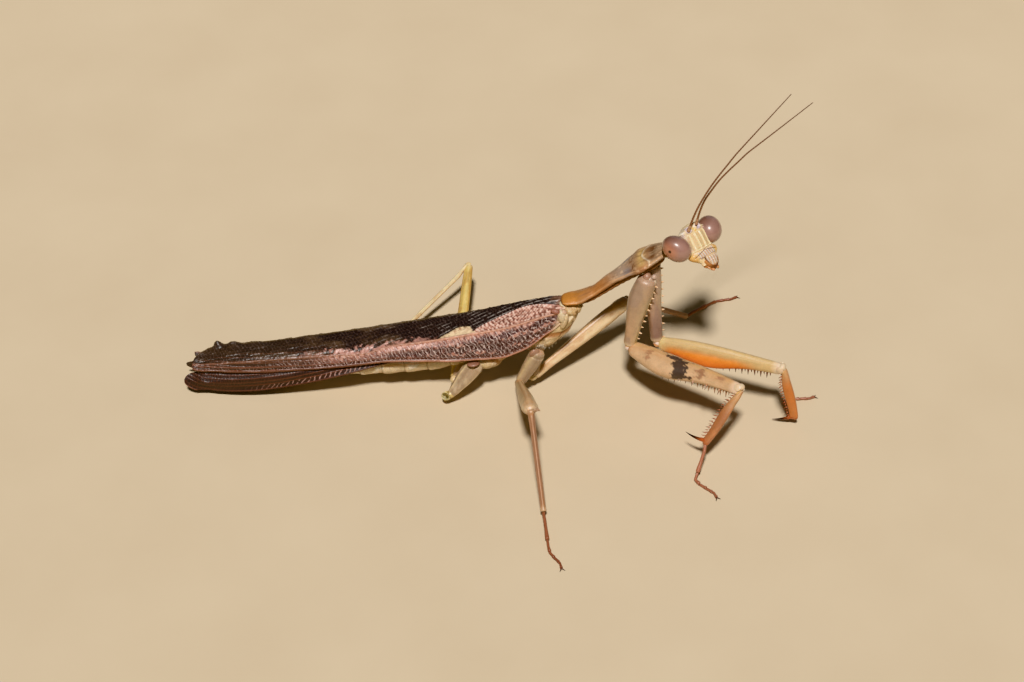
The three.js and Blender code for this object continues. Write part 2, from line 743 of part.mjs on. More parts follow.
// The origin is on the floor, under the middle of the whole animal.
const whole = new THREE.Box3().setFromObject(model);
const middle = whole.getCenter(vector(0, 0, 0));
model.position.set(-middle.x, -middle.y, 0);
model.updateMatrixWorld(true);

export default model;
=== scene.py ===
"""A praying mantis at life size, brown and long winged, standing low with its front raised.

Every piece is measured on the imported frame: limbs and feelers from cross sections of their nodes,
wings from the outlines of theirs. Lengths in this file are millimetres unless a name says otherwise.
"""

import math

import bpy
import numpy as np
from bpy.props import FloatProperty, FloatVectorProperty, IntProperty, PointerProperty
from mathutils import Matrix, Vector


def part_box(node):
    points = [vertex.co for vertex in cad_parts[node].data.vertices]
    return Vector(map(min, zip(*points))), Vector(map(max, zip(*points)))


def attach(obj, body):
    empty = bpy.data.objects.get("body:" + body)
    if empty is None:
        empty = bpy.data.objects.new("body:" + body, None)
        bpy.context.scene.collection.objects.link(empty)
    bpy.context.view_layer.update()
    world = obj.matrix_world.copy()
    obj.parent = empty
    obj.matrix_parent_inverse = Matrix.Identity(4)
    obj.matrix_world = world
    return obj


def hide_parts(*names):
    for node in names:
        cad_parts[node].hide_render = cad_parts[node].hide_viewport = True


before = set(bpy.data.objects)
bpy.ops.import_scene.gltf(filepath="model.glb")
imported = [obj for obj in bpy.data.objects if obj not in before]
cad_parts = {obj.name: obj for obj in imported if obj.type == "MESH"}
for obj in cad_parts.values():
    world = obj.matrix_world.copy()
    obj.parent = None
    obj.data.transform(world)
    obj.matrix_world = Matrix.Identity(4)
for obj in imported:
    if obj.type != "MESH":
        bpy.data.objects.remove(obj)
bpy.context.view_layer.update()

bl_info = {
    "name": "Praying Mantis Model",
    "version": (1, 0, 0),
    "blender": (4, 5, 0),
    "location": "View3D > Sidebar > Mantis",
    "description": "Builds a life-size still model of a praying mantis around its packed frame",
    "category": "Add Mesh",
}

MM = 0.001
TURN = 2 * math.pi
UP = np.array([0.0, 0.0, 1.0])
RIGHTWARDS, BACKWARDS = np.array([1.0, 0.0, 0.0]), np.array([0.0, 1.0, 0.0])
FINE = 200  # points of the line along which a limb is measured


# ---- measuring the frame
def node_triangles(name):
    """The triangles of a CAD node, as an array of corners in millimetres."""
    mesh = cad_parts[name].data
    mesh.calc_loop_triangles()
    points = np.empty(len(mesh.vertices) * 3)
    mesh.vertices.foreach_get("co", points)
    corners = np.empty(len(mesh.loop_triangles) * 3, dtype=np.int32)
    mesh.loop_triangles.foreach_get("vertices", corners)
    return points.reshape(-1, 3)[corners.reshape(-1, 3)] / MM


def node_centre(name):
    """The middle of a node's box."""
    low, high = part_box(name)
    return np.array((low + high) / 2) / MM


def unit(v):
    """A vector, or each of many, drawn to the length 1."""
    v = np.asarray(v, float)
    return v / np.linalg.norm(v, axis=-1, keepdims=True)


def cross_section(triangles, origin, normal):
    """The segments where a plane cuts a solid, turned so that the solid is on their left."""
    height = (triangles - origin) @ normal
    above = height > 0
    cut = above.any(axis=1) & ~above.all(axis=1)
    tri, h, side = triangles[cut], height[cut], above[cut]
    lone = np.where(side.sum(axis=1) == 1, side.argmax(axis=1), (~side).argmax(axis=1))
    row = np.arange(len(tri))
    ends = []
    for step in (1, 2):
        other = (lone + step) % 3
        share = h[row, lone] / (h[row, lone] - h[row, other])
        ends.append(tri[row, lone] + share[:, None] * (tri[row, other] - tri[row, lone]))
    start, end = ends
    face = np.cross(tri[:, 1] - tri[:, 0], tri[:, 2] - tri[:, 0])
    wrong = ((end - start) * np.cross(normal, face)).sum(axis=1) < 0
    start[wrong], end[wrong] = end[wrong], start[wrong].copy()
    return start, end


def section_centre(triangles, origin, normal):
    """The area centre and the area of a cross section, or None where the plane misses."""
    start, end = cross_section(triangles, origin, normal)
    if len(start) < 3:
        return None
    a, b = start - origin, end - origin
    cross = np.cross(a, b) @ normal
    area = cross.sum() / 2
    if abs(area) < 1e-3:
        return None
    return origin + ((a + b) * cross[:, None]).sum(axis=0) / (6 * area), abs(area)


def principal(triangles):
    """The middle of a node's corners and the direction in which they reach farthest."""
    points = triangles.reshape(-1, 3)
    middle = points.mean(axis=0)
    return middle, unit(np.linalg.svd(points - middle, full_matrices=False)[2][0])


def centre_line(name, count, start_near, inset=0.02):
    """Points along the middle of a long node, from the end nearest to start_near."""
    triangles = node_triangles(name)
    middle, axis = principal(triangles)
    if (np.asarray(start_near) - middle) @ axis > 0:
        axis = -axis
    reach = (triangles.reshape(-1, 3) - middle) @ axis
    found = []
    for share in np.linspace(inset, 1 - inset, count):
        origin = middle + axis * (reach.min() + share * np.ptp(reach))
        centre = section_centre(triangles, origin, axis)
        if centre is not None:
            found.append(centre[0])
    return np.array(found)


def straight_line(name, start_near, low=0.25, high=0.6):
    """A point on the middle line of a straight node and its direction away from start_near."""
    triangles = node_triangles(name)
    middle, axis = principal(triangles)
    if (np.asarray(start_near) - middle) @ axis > 0:
        axis = -axis
    for _ in range(3):
        reach = (triangles.reshape(-1, 3) - middle) @ axis
        ends = []
        for share in (low, high):
            origin = middle + axis * (reach.min() + share * np.ptp(reach))
            ends.append(section_centre(triangles, origin, axis)[0])
        axis = unit(ends[1] - ends[0])
        middle = ends[0]
    return middle, axis


def meeting(line_a, line_b):
    """The point midway between two lines where they pass closest."""
    (p, u), (q, v) = line_a, line_b
    across = np.cross(u, v)
    size = across @ across
    s = np.cross(q - p, v) @ across / size
    t = np.cross(q - p, u) @ across / size
    return (p + s * u + q + t * v) / 2


def box_end(name, line, far):
    """The point of a node's middle line at the node's near or far end."""
    point, axis = line
    reach = (node_triangles(name).reshape(-1, 3) - point) @ axis
    return point + axis * (reach.max() if far else reach.min())


# ---- shaping
def ramp(low, high, x):
    """0 up to low, 1 from high on and smooth between them; low may be the larger."""
    t = np.clip((np.asarray(x, float) - low) / (high - low), 0, 1)
    return t * t * (3 - 2 * t)


def bump(x, centre, width):
    """1 at centre, falling smoothly to nearly 0 at twice the width."""
    return np.exp(-(((np.asarray(x, float) - centre) / width) ** 2))


def blend(low, high, share):
    """Mixes two colours or numbers; share may be an array."""
    share = np.asarray(share, float)[..., None]
    return np.asarray(low, float) * (1 - share) + np.asarray(high, float) * share


def interpolate(knots, values, x):
    """A smooth curve through the values at the knots, without overshoot."""
    knots, values = np.asarray(knots, float), np.asarray(values, float)
    flat = values.reshape(len(knots), -1)
    slopes = np.diff(flat, axis=0) / np.diff(knots)[:, None]
    tangents = np.vstack([slopes[:1], (slopes[1:] + slopes[:-1]) / 2, slopes[-1:]])
    agree = slopes[1:] * slopes[:-1] > 0
    limit = 2 * np.minimum(abs(slopes[1:]), abs(slopes[:-1]))
    inner = np.sign(tangents[1:-1]) * np.minimum(abs(tangents[1:-1]), limit)
    tangents[1:-1] = np.where(agree, inner, 0)
    x = np.clip(np.asarray(x, float), knots[0], knots[-1])
    return hermite(knots, flat, tangents, x).reshape((len(x),) + values.shape[1:])


def hermite(knots, values, tangents, x):
    """The curve at x that has the given values and slopes at the knots."""
    k = np.clip(np.searchsorted(knots, x, side="right") - 1, 0, len(knots) - 2)
    span = (knots[k + 1] - knots[k])[:, None]
    t = ((x - knots[k]) / (knots[k + 1] - knots[k]))[:, None]
    a, b = 2 * t**3 - 3 * t**2 + 1, t**3 - 2 * t**2 + t
    c, d = 3 * t**2 - 2 * t**3, t**3 - t**2
    return a * values[k] + b * span * tangents[k] + c * values[k + 1] + d * span * tangents[k + 1]


def distances(points):
    """How far along a line of points each of them lies."""
    return np.concatenate([[0], np.cumsum(np.linalg.norm(np.diff(points, axis=0), axis=1))])


def resampled(line, places, wanted):
    """Points of a line at the wanted places, where places says where its own points lie."""
    return np.stack([np.interp(wanted, places, line[:, i]) for i in range(3)], axis=1)


def path_points(points, count):
    """Evenly spaced points on a smooth curve through the given ones."""
    points = np.asarray(points, float)
    length = distances(points)
    tangents = np.gradient(points, length, axis=0)
    fine = hermite(length, points, tangents, np.linspace(0, length[-1], count * 4))
    travelled = distances(fine)
    return resampled(fine, travelled, np.linspace(0, travelled[-1], count))


def stretched(line, near, far):
    """A line carried on past its ends, by shares of its first and last steps."""
    return np.vstack([line[0] + (line[0] - line[1]) * near, line, line[-1] + (line[-1] - line[-2]) * far])


def fractal(points, size, seed, octaves=3):
    """Smooth noise from -1 to 1 at points, with features about size across."""
    rng = np.random.default_rng(seed)
    total = np.zeros(len(points))
    weight = 1.0
    for octave in range(octaves):
        waves = rng.normal(size=(9, points.shape[1]))
        phases = rng.uniform(0, TURN, 9)
        scale = 2.4 * 2**octave / size
        total += weight * np.sin(points @ waves.T * scale + phases).mean(axis=1)
        weight *= 0.55
    return np.clip(total * 1.6, -1, 1)


def mottle(parts, size, seed, octaves=3):
    """Smooth noise for each point of a grid, where parts are the point's places in the noise."""
    spot = np.stack(parts, axis=-1)
    return fractal(spot.reshape(-1, spot.shape[-1]), size, seed, octaves).reshape(spot.shape[:-1])


class Shell:
    """Vertices, faces and per-vertex values that grow into one mesh."""

    def __init__(self):
        self.points, self.quads, self.triangles, self.tints, self.values = [], [], [], [], []
        self.count = 0

    def add(self, points, quads, triangles, tint, value=0.0):
        """Adds a closed body. tint is a colour for each vertex or one for all, value a mask."""
        points = np.asarray(points, float)
        quads = np.asarray(quads, int).reshape(-1, 4)
        triangles = np.asarray(triangles, int).reshape(-1, 3)
        if enclosed_volume(points, quads, triangles) < 0:
            quads, triangles = quads[:, ::-1], triangles[:, ::-1]
        self.points.append(points)
        self.quads.append(quads + self.count)
        self.triangles.append(triangles + self.count)
        self.tints.append(np.broadcast_to(np.asarray(tint, float), (len(points), 3)))
        self.values.append(np.broadcast_to(np.asarray(value, float), (len(points),)))
        self.count += len(points)

    def finish(self, name, finish, slot, *replaced):
        """Makes the mesh object, gives it its finish and ties it to the frame."""
        points = np.vstack(self.points) * MM
        faces = [*np.vstack(self.quads).tolist(), *np.vstack(self.triangles).tolist()]
        mesh = bpy.data.meshes.new(name)
        mesh.from_pydata(points.tolist(), [], faces)
        mesh.shade_smooth()
        tint = mesh.attributes.new("tint", "FLOAT_COLOR", "POINT")
        colours = np.hstack([np.vstack(self.tints), np.ones((self.count, 1))])
        tint.data.foreach_set("color", colours.astype(np.float32).ravel())
        mask = mesh.attributes.new("mask", "FLOAT", "POINT")
        mask.data.foreach_set("value", np.concatenate(self.values).astype(np.float32))
        mesh.materials.append(finish_of(finish))
        piece = bpy.data.objects.new(name, mesh)
        bpy.context.scene.collection.objects.link(piece)
        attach(piece, "root")
        if replaced:
            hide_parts(*replaced)
        return piece


def enclosed_volume(points, quads, triangles):
    """Six times a closed body's volume, negative where its faces look inwards."""
    corners = [quads[:, [0, 1, 2]], quads[:, [0, 2, 3]], triangles]
    tri = points[np.vstack(corners)]
    return np.einsum("ij,ij->", tri[:, 0], np.cross(tri[:, 1], tri[:, 2]))


def grid_quads(rows, columns, wrap):
    """Faces of a grid of points, numbered row by row; wrap joins the last column to the first."""
    r = np.arange(rows - 1)[:, None]
    c = np.arange(columns if wrap else columns - 1)[None, :]
    following = (c + 1) % columns
    a, b = r * columns + c, r * columns + following
    d, e = (r + 1) * columns + c, (r + 1) * columns + following
    return np.stack([a, b, e, d], axis=-1).reshape(-1, 4)


def add_tube(shell, rings, tint):
    """Adds a tube closed by a point at each end. rings is rows x around x 3."""
    rows, around = rings.shape[:2]
    points = np.vstack([rings.reshape(-1, 3), rings[:1].mean(axis=1), rings[-1:].mean(axis=1)])
    c = np.arange(around)
    n = (c + 1) % around
    last = (rows - 1) * around
    near = np.stack([np.full(around, rows * around), n, c], axis=1)
    far = np.stack([np.full(around, rows * around + 1), last + c, last + n], axis=1)

    def closed(values):
        values = np.asarray(values, float)
        if values.ndim < 2 or values.shape[0] != rows:
            return values
        flat = values.reshape((rows * around,) + values.shape[2:])
        ends = np.stack([values[0].mean(axis=0), values[-1].mean(axis=0)])
        return np.concatenate([flat, ends])

    shell.add(points, grid_quads(rows, around, True), np.vstack([near, far]), closed(tint))


def tube_piece(name, rings, tint, finish, slot, *replaced):
    """Makes a piece that is one closed tube."""
    shell = Shell()
    add_tube(shell, rings, tint)
    return shell.finish(name, finish, slot, *replaced)


def frames_along(path, up):
    """Tangent, side and lift directions at each point of a path."""
    tangent = unit(np.gradient(path, axis=0))
    side = unit(np.cross(tangent, up))
    return tangent, side, np.cross(side, tangent)


def rings_along(path, up, half_width, half_height, around, shape=None, lift=0.0):
    """Rings of an elliptical tube. shape(angle, share) adds to the radius; angle 0 is the side."""
    _, side, rise = frames_along(path, up)
    angle = np.linspace(0, TURN, around, endpoint=False)
    share = np.linspace(0, 1, len(path))
    x = np.asarray(half_width)[:, None] * np.cos(angle)
    z = np.asarray(half_height)[:, None] * np.sin(angle)
    if shape is not None:
        extra = shape(angle[None, :] + 0 * share[:, None], share[:, None] + 0 * angle[None, :])
        length = np.maximum(np.hypot(x, z), 1e-6)
        x, z = x * (1 + extra / length), z * (1 + extra / length)
    z = z + np.asarray(lift).reshape(-1, 1)
    return path[:, None] + x[..., None] * side[:, None] + z[..., None] * rise[:, None]


def add_cone(shell, root, tip, radius, tint, tip_tint=None, bend=None, sides=8, rows=7):
    """Adds a spine that tapers to a point, bent sideways by the vector bend at its tip."""
    root, tip = np.asarray(root, float), np.asarray(tip, float)
    share = np.linspace(0, 1, rows)
    path = root + share[:, None] * (tip - root)
    if bend is not None:
        path = path + (share**2)[:, None] * np.asarray(bend)
    axis = unit(tip - root)
    up = np.cross(axis, UP if abs(axis[2]) < 0.9 else [1.0, 0, 0])
    taper = radius * (1 - share) ** 0.8 + 0.015
    rings = rings_along(path, up, taper, taper, sides)
    end_tint = np.asarray(tint if tip_tint is None else tip_tint)
    mix = np.broadcast_to(ramp(0.25, 0.8, share)[:, None], (rows, sides))
    add_tube(shell, rings, blend(tint, end_tint, mix))


def srgb(red, green, blue):
    """A colour given as it looks on a screen, 0 to 255, as linear values."""
    c = np.array([red, green, blue]) / 255
    return np.where(c <= 0.04045, c / 12.92, ((c + 0.055) / 1.055) ** 2.4)


def section_box(triangles, origin, axis, side, rise):
    """Centre and half sizes of a cross section along side and rise, or None where it misses."""
    start, _ = cross_section(triangles, origin, axis)
    if len(start) < 3:
        return None
    across, up = (start - origin) @ side, (start - origin) @ rise
    return np.array([
        (across.max() + across.min()) / 2,
        (up.max() + up.min()) / 2,
        (across.max() - across.min()) / 2,
        (up.max() - up.min()) / 2,
    ])


def square_to(axis, rise):
    """Side and rise directions square to an axis, rise as near as can be to the one given."""
    side = unit(np.cross(axis, rise))
    return side, np.cross(side, axis)


def measured_tube(node, path, rise, shares, rows):
    """A node's measured cross sections along a path, smoothed: path, half widths, half heights."""
    triangles = node_triangles(node)
    known, values = [], []
    path = np.asarray(path, float)
    if len(path) > 2:
        line = path_points(path, FINE)
    else:
        line = path[0] + np.linspace(0, 1, FINE)[:, None] * (path[1] - path[0])
    tangent = unit(np.gradient(line, axis=0))
    for share in shares:
        k = int(round(share * (FINE - 1)))
        side, up = square_to(tangent[k], rise)
        found = section_box(triangles, line[k], tangent[k], side, up)
        if found is not None:
            known.append(share)
            values.append(found)
    fine = interpolate(known, values, np.linspace(0, 1, rows))
    even = resampled(line, np.arange(FINE), np.linspace(0, FINE - 1, rows))
    side, up = square_to(unit(np.gradient(even, axis=0)), rise)
    return even + fine[:, :1] * side + fine[:, 1:2] * up, fine[:, 2], fine[:, 3]


def rounded_ends(share, near, far, least=0.04):
    """A factor that draws a tube's ends in to a dome over the shares near and far."""
    start = np.clip(1 - share / near, 0, 1) if near else 0 * share
    end = np.clip(1 - (1 - share) / far, 0, 1) if far else 0 * share
    return np.maximum(np.sqrt(1 - start**2) * np.sqrt(1 - end**2), least)


def ring_field(rows, around):
    """Share along a tube and angle round it for each point of its rings."""
    share = np.linspace(0, 1, rows)[:, None] + np.zeros(around)
    angle = np.linspace(0, TURN, around, endpoint=False) + np.zeros((rows, 1))
    return share, angle


def paint(base, *layers):
    """Lays colours over a base colour. Each layer is (colour, strength), strength an array."""
    colour = np.asarray(base, float)
    for tint, strength in layers:
        colour = blend(colour, tint, np.clip(strength, 0, 1))
    return colour


# ---- finishes
def new_tree(name, kind, inputs, outputs):
    """A node group with its sockets, given as name, type and default: the tree, inputs and output node."""
    tree = bpy.data.node_groups.new(name, kind)
    for way, sockets in (("INPUT", inputs), ("OUTPUT", outputs)):
        for label, socket_type, default in sockets:
            socket = tree.interface.new_socket(label, in_out=way, socket_type="NodeSocket" + socket_type)
            if default is not None:
                socket.default_value = default
    return tree, tree.nodes.new("NodeGroupInput").outputs, tree.nodes.new("NodeGroupOutput")


def set_inputs(tree, node, inputs):
    """Sets a node's inputs, by name or number, to numbers or links them from sockets."""
    for key, value in inputs.items():
        if isinstance(value, bpy.types.NodeSocket):
            tree.links.new(value, node.inputs[key])
        else:
            node.inputs[key].default_value = value


def add_node(tree, kind, inputs=None, **settings):
    """Adds a node with its own settings, then sets or links its inputs."""
    node = tree.nodes.new(kind)
    for key, value in settings.items():
        setattr(node, key, value)
    set_inputs(tree, node, inputs or {})
    return node


def maths(tree, operation, a, b=0.5, c=None, clamp=False):
    """A sum on numbers or sockets: its result's socket."""
    inputs = {0: a, 1: b} if c is None else {0: a, 1: b, 2: c}
    return add_node(tree, "ShaderNodeMath", inputs, operation=operation, use_clamp=clamp).outputs[0]


def vector_maths(tree, operation, a, b):
    """A sum on two vectors: its outputs."""
    return add_node(tree, "ShaderNodeVectorMath", {0: a, 1: b}, operation=operation).outputs


def mixed(tree, factor, a, b, blend_type="MIX"):
    """Mixes two colours, each a socket or three numbers."""
    colours = [c if isinstance(c, bpy.types.NodeSocket) else (*map(float, c), 1) for c in (a, b)]
    return add_node(tree, "ShaderNodeMix", {0: factor, 6: colours[0], 7: colours[1]},
                    data_type="RGBA", blend_type=blend_type).outputs[2]


def noise(tree, vector, scale, detail, roughness=0.5):
    """Noise with features of 1 / scale: its outputs, the first of them the value."""
    return add_node(tree, "ShaderNodeTexNoise", {"Vector": vector, "Scale": scale, "Detail": detail,
                                                 "Roughness": roughness}).outputs


def ranged(tree, value, low, high, start, end, kind="SMOOTHSTEP"):
    """Runs from start to end while the value runs from low to high."""
    return add_node(tree, "ShaderNodeMapRange", {0: value, 1: low, 2: high, 3: start, 4: end},
                    interpolation_type=kind).outputs[0]


def own_tint(tree, shade):
    """The piece's own colours, darkened or lightened by a shade."""
    tint = add_node(tree, "ShaderNodeAttribute", attribute_name="tint").outputs["Color"]
    grey = add_node(tree, "ShaderNodeCombineColor", {0: shade, 1: shade, 2: shade}).outputs[0]
    return mixed(tree, 1.0, tint, grey, "MULTIPLY")


def relief(tree, height, depth, strength=1.0):
    """A surface raised by a height of 0 to 1, up to depth millimetres."""
    return add_node(tree, "ShaderNodeBump", {"Height": height, "Distance": depth * MM,
                                             "Strength": strength}).outputs[0]


def new_material(name):
    """An empty material, its node tree and its shader."""
    material = bpy.data.materials.new(name)
    material.use_nodes = True
    return material, material.node_tree, material.node_tree.nodes["Principled BSDF"]


def grain_group():
    """Uneven shade and fine relief of insect cuticle: blotches, grain and small pits."""
    name = "Cuticle grain"
    if name in bpy.data.node_groups:
        return bpy.data.node_groups[name]
    tree, given, sink = new_tree(
        name, "ShaderNodeTree",
        [("Vector", "Vector", None), ("Scale", "Float", 1500.0), ("Pit Scale", "Float", 9000.0),
         ("Pit Depth", "Float", 0.5)],
        [("Shade", "Float", None), ("Height", "Float", None)])
    vector, scale = given["Vector"], given["Scale"]
    blotch = noise(tree, vector, scale, 4.0, 0.6)[0]
    fine = noise(tree, vector, maths(tree, "MULTIPLY", scale, 5.5), 3.0)[0]
    pits = add_node(tree, "ShaderNodeTexVoronoi", {"Vector": vector, "Scale": given["Pit Scale"]})
    pit = maths(tree, "MULTIPLY", pits.outputs["Distance"], given["Pit Depth"])
    shade = maths(tree, "MULTIPLY_ADD", blotch, 0.62, maths(tree, "MULTIPLY", fine, 0.38))
    set_inputs(tree, sink, {"Shade": shade, "Height": maths(tree, "ADD", fine, pit)})
    return tree


def grained(tree, scale, pits, pit_depth=0.5):
    """Shade and height of the cuticle's grain. scale and pits are features in a millimetre."""
    place = add_node(tree, "ShaderNodeTexCoord").outputs["Object"]
    grain = add_node(tree, "ShaderNodeGroup", {
        "Vector": place, "Scale": scale / MM, "Pit Scale": pits / MM, "Pit Depth": pit_depth},
        node_tree=grain_group())
    return grain.outputs["Shade"], grain.outputs["Height"]


def cuticle(name, roughness, coat, scale, pits, pit_depth, variation, depth, glow=0.0):
    """Shell of an insect. The piece's own tint is darkened and lightened by the grain.

    scale and pits are features in a millimetre, depth that of the grain in millimetres,
    variation how far the shade strays, glow how much light scatters under the surface."""
    material, tree, shader = new_material(name)
    grain, height = grained(tree, scale, pits, pit_depth)
    shade = maths(tree, "MULTIPLY_ADD", grain, 2 * variation, 1 - variation)
    set_inputs(tree, shader, {
        "Base Color": own_tint(tree, shade),
        "Roughness": maths(tree, "MULTIPLY_ADD", grain, 0.22, roughness - 0.11, clamp=True),
        "Normal": relief(tree, height, depth),
        "Coat Weight": coat, "Coat Roughness": 0.25,
        "Subsurface Weight": glow, "Subsurface Radius": (1.0, 0.5, 0.25), "Subsurface Scale": 0.6 * MM})
    return material


def wing_leather(name, cell, stripe, vein, vein_strength, roughness=0.4):
    """Leathery wing. Its own map runs in millimetres across and along it. Cross veins, stripe turns of
    them to a millimetre each way of the map, and a net of cells of the size cell are raised and have the
    colour vein, wherever the piece's mask lets them show."""
    material, tree, shader = new_material(name)
    wing_map = add_node(tree, "ShaderNodeUVMap", uv_map="wing").outputs[0]
    turned = add_node(tree, "ShaderNodeMapping", {"Vector": wing_map, "Rotation": (0, 0, 0.5),
                                                  "Scale": (1 / cell[0], 1 / cell[1], 1)}).outputs[0]
    stray = vector_maths(tree, "MULTIPLY", noise(tree, turned, 1.3, 2.0)["Color"], (0.35, 0.35, 0.0))[0]
    cells = add_node(tree, "ShaderNodeTexVoronoi", {
        "Vector": vector_maths(tree, "ADD", turned, stray)[0], "Scale": 1.0, "Randomness": 0.75},
        feature="DISTANCE_TO_EDGE")
    net = ranged(tree, cells.outputs["Distance"], 0.02, 0.13, 0.22, 0.0)
    sway = noise(tree, wing_map, 1.2, 3.0)[0]
    along = vector_maths(tree, "DOT_PRODUCT", wing_map, (*stripe, 0))["Value"]
    turns = maths(tree, "PINGPONG", maths(tree, "MULTIPLY_ADD", sway, 2.6, along), 0.5)
    line = ranged(tree, turns, 0.06, 0.17, 1.0, 0.0)
    whole = ranged(tree, noise(tree, wing_map, 2.3, 1.0)[0], 0.36, 0.5, 0.15, 1.0, "LINEAR")
    rule = maths(tree, "MAXIMUM", net, maths(tree, "MULTIPLY", line, whole))
    shown = add_node(tree, "ShaderNodeAttribute", attribute_name="mask").outputs["Fac"]
    ruled = maths(tree, "MULTIPLY", rule, shown)
    grain, height = grained(tree, 0.9, 7.0)
    ground = own_tint(tree, maths(tree, "MULTIPLY_ADD", grain, 1.5, 0.25))
    height = maths(tree, "MULTIPLY_ADD", ruled, 1.0, maths(tree, "MULTIPLY", height, 0.3))
    set_inputs(tree, shader, {
        "Base Color": mixed(tree, maths(tree, "MULTIPLY", ruled, vein_strength), ground, vein),
        "Roughness": maths(tree, "MULTIPLY_ADD", ruled, -0.15, roughness),
        "Normal": relief(tree, height, 0.05),
        "Coat Weight": 0.14, "Coat Roughness": 0.35})
    return material


def glossy_eye(name):
    """Compound eye: thousands of fine facets under a smooth wet-looking gloss."""
    material, tree, shader = new_material(name)
    place = add_node(tree, "ShaderNodeTexCoord").outputs["Object"]
    facets = add_node(tree, "ShaderNodeTexVoronoi", {
        "Vector": place, "Scale": 26 / MM, "Randomness": 0.35}).outputs["Distance"]
    shade = maths(tree, "MULTIPLY_ADD", noise(tree, place, 0.9 / MM, 2.0)[0], 0.35, 0.82)
    shade = maths(tree, "MULTIPLY_ADD", facets, -0.22, shade)
    set_inputs(tree, shader, {"Base Color": own_tint(tree, shade), "Normal": relief(tree, facets, 0.002, 0.5),
                              "Roughness": 0.3, "Coat Weight": 1.0, "Coat Roughness": 0.06})
    return material


# ---- rows of spines
def growing_tree(name, inputs):
    """A geometry nodes tree that takes a line, the given inputs and a material."""
    return new_tree(name, "GeometryNodeTree", [("Geometry", "Geometry", None), *inputs,
                                               ("Material", "Material", None)],
                    [("Geometry", "Geometry", None)])


def along_line(tree, given, count):
    """Evenly spaced points along the line that the tree is given."""
    line = add_node(tree, "GeometryNodeMeshToCurve", {0: given["Geometry"]}).outputs[0]
    return add_node(tree, "GeometryNodeResampleCurve", {"Curve": line, "Count": count}).outputs[0]


def tinted(tree, geometry, share, given):
    """Stores the mix of the root's and the tip's tint on the geometry."""
    tint = mixed(tree, share, given["Root Tint"], given["Tip Tint"])
    inputs = {"Geometry": geometry, "Name": "tint", "Value": tint}
    return add_node(tree, "GeometryNodeStoreNamedAttribute", inputs, data_type="FLOAT_COLOR",
                    domain="POINT").outputs[0]


def strung(tree, given, out, points, instance, way, scale):
    """Ends a tree: instances on points, their height along way, made real, smooth and given the material."""
    aim = add_node(tree, "FunctionNodeAlignRotationToVector", {"Vector": way}, axis="Z").outputs[0]
    placed = add_node(tree, "GeometryNodeInstanceOnPoints", {
        "Points": points, "Instance": instance, "Rotation": aim, "Scale": scale}).outputs[0]
    real = add_node(tree, "GeometryNodeRealizeInstances", {0: placed}).outputs[0]
    smooth = add_node(tree, "GeometryNodeSetShadeSmooth", {0: real}).outputs[0]
    finish = add_node(tree, "GeometryNodeSetMaterial", {"Geometry": smooth, "Material": given["Material"]})
    tree.links.new(finish.outputs[0], out.inputs[0])
    return tree


def spine_tree():
    """Geometry nodes: a row of tapering spines or beads along the piece's own line."""
    name = "Row of spines"
    if name in bpy.data.node_groups:
        return bpy.data.node_groups[name]
    tree, given, out = growing_tree(name, [
        ("Count", "Int", 12), ("Length", "Float", 0.8 * MM), ("Radius", "Float", 0.1 * MM),
        ("Tip Radius", "Float", 0.015 * MM), ("Short", "Float", 0.5), ("Every", "Int", 3),
        ("Direction", "Vector", None), ("Stray", "Float", 0.1), ("Seed", "Int", 1),
        ("Root Tint", "Color", (0.5, 0.3, 0.2, 1)), ("Tip Tint", "Color", (0.05, 0.02, 0.02, 1))])
    cone = add_node(tree, "GeometryNodeMeshCone", {
        "Vertices": 9, "Side Segments": 5, "Fill Segments": 1, "Depth": given["Length"],
        "Radius Top": given["Tip Radius"], "Radius Bottom": given["Radius"]}, fill_type="TRIANGLE_FAN")
    place = add_node(tree, "GeometryNodeInputPosition").outputs[0]
    height = add_node(tree, "ShaderNodeSeparateXYZ", {0: place}).outputs[2]
    painted = tinted(tree, cone.outputs["Mesh"], maths(tree, "DIVIDE", height, given["Length"]), given)
    index = add_node(tree, "GeometryNodeInputIndex").outputs[0]
    whole = maths(tree, "COMPARE", maths(tree, "MODULO", index, given["Every"]), 0.0, 0.5)
    size = maths(tree, "MAXIMUM", whole, given["Short"])
    stray = add_node(tree, "FunctionNodeRandomValue", {0: (-1, -1, -1), 1: (1, 1, 1), "Seed": given["Seed"]},
                     data_type="FLOAT_VECTOR").outputs[0]
    shift = add_node(tree, "ShaderNodeVectorMath", {0: stray, "Scale": given["Stray"]}, operation="SCALE")
    way = vector_maths(tree, "ADD", given["Direction"], shift.outputs[0])[0]
    girth = maths(tree, "MAXIMUM", size, 0.72)
    scale = add_node(tree, "ShaderNodeCombineXYZ", {0: girth, 1: girth, 2: size}).outputs[0]
    return strung(tree, given, out, along_line(tree, given, given["Count"]), painted, way, scale)


def grown_piece(name, points, tree, inputs):
    """Runs a geometry nodes tree on a line of points and keeps the result as a plain mesh."""
    mesh = bpy.data.meshes.new(name + "_line")
    points = np.asarray(points) * MM
    mesh.from_pydata(points.tolist(), [(i, i + 1) for i in range(len(points) - 1)], [])
    piece = bpy.data.objects.new(name, mesh)
    bpy.context.scene.collection.objects.link(piece)
    modifier = piece.modifiers.new("Grow", "NODES")
    modifier.node_group = tree
    sockets = {item.name: item.identifier for item in tree.interface.items_tree if item.in_out == "INPUT"}
    for label, value in inputs.items():
        modifier[sockets[label]] = value
    depsgraph = bpy.context.evaluated_depsgraph_get()
    result = bpy.data.meshes.new_from_object(piece.evaluated_get(depsgraph), depsgraph=depsgraph)
    piece.modifiers.clear()
    piece.data = result
    bpy.data.meshes.remove(mesh)
    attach(piece, "root")
    return piece


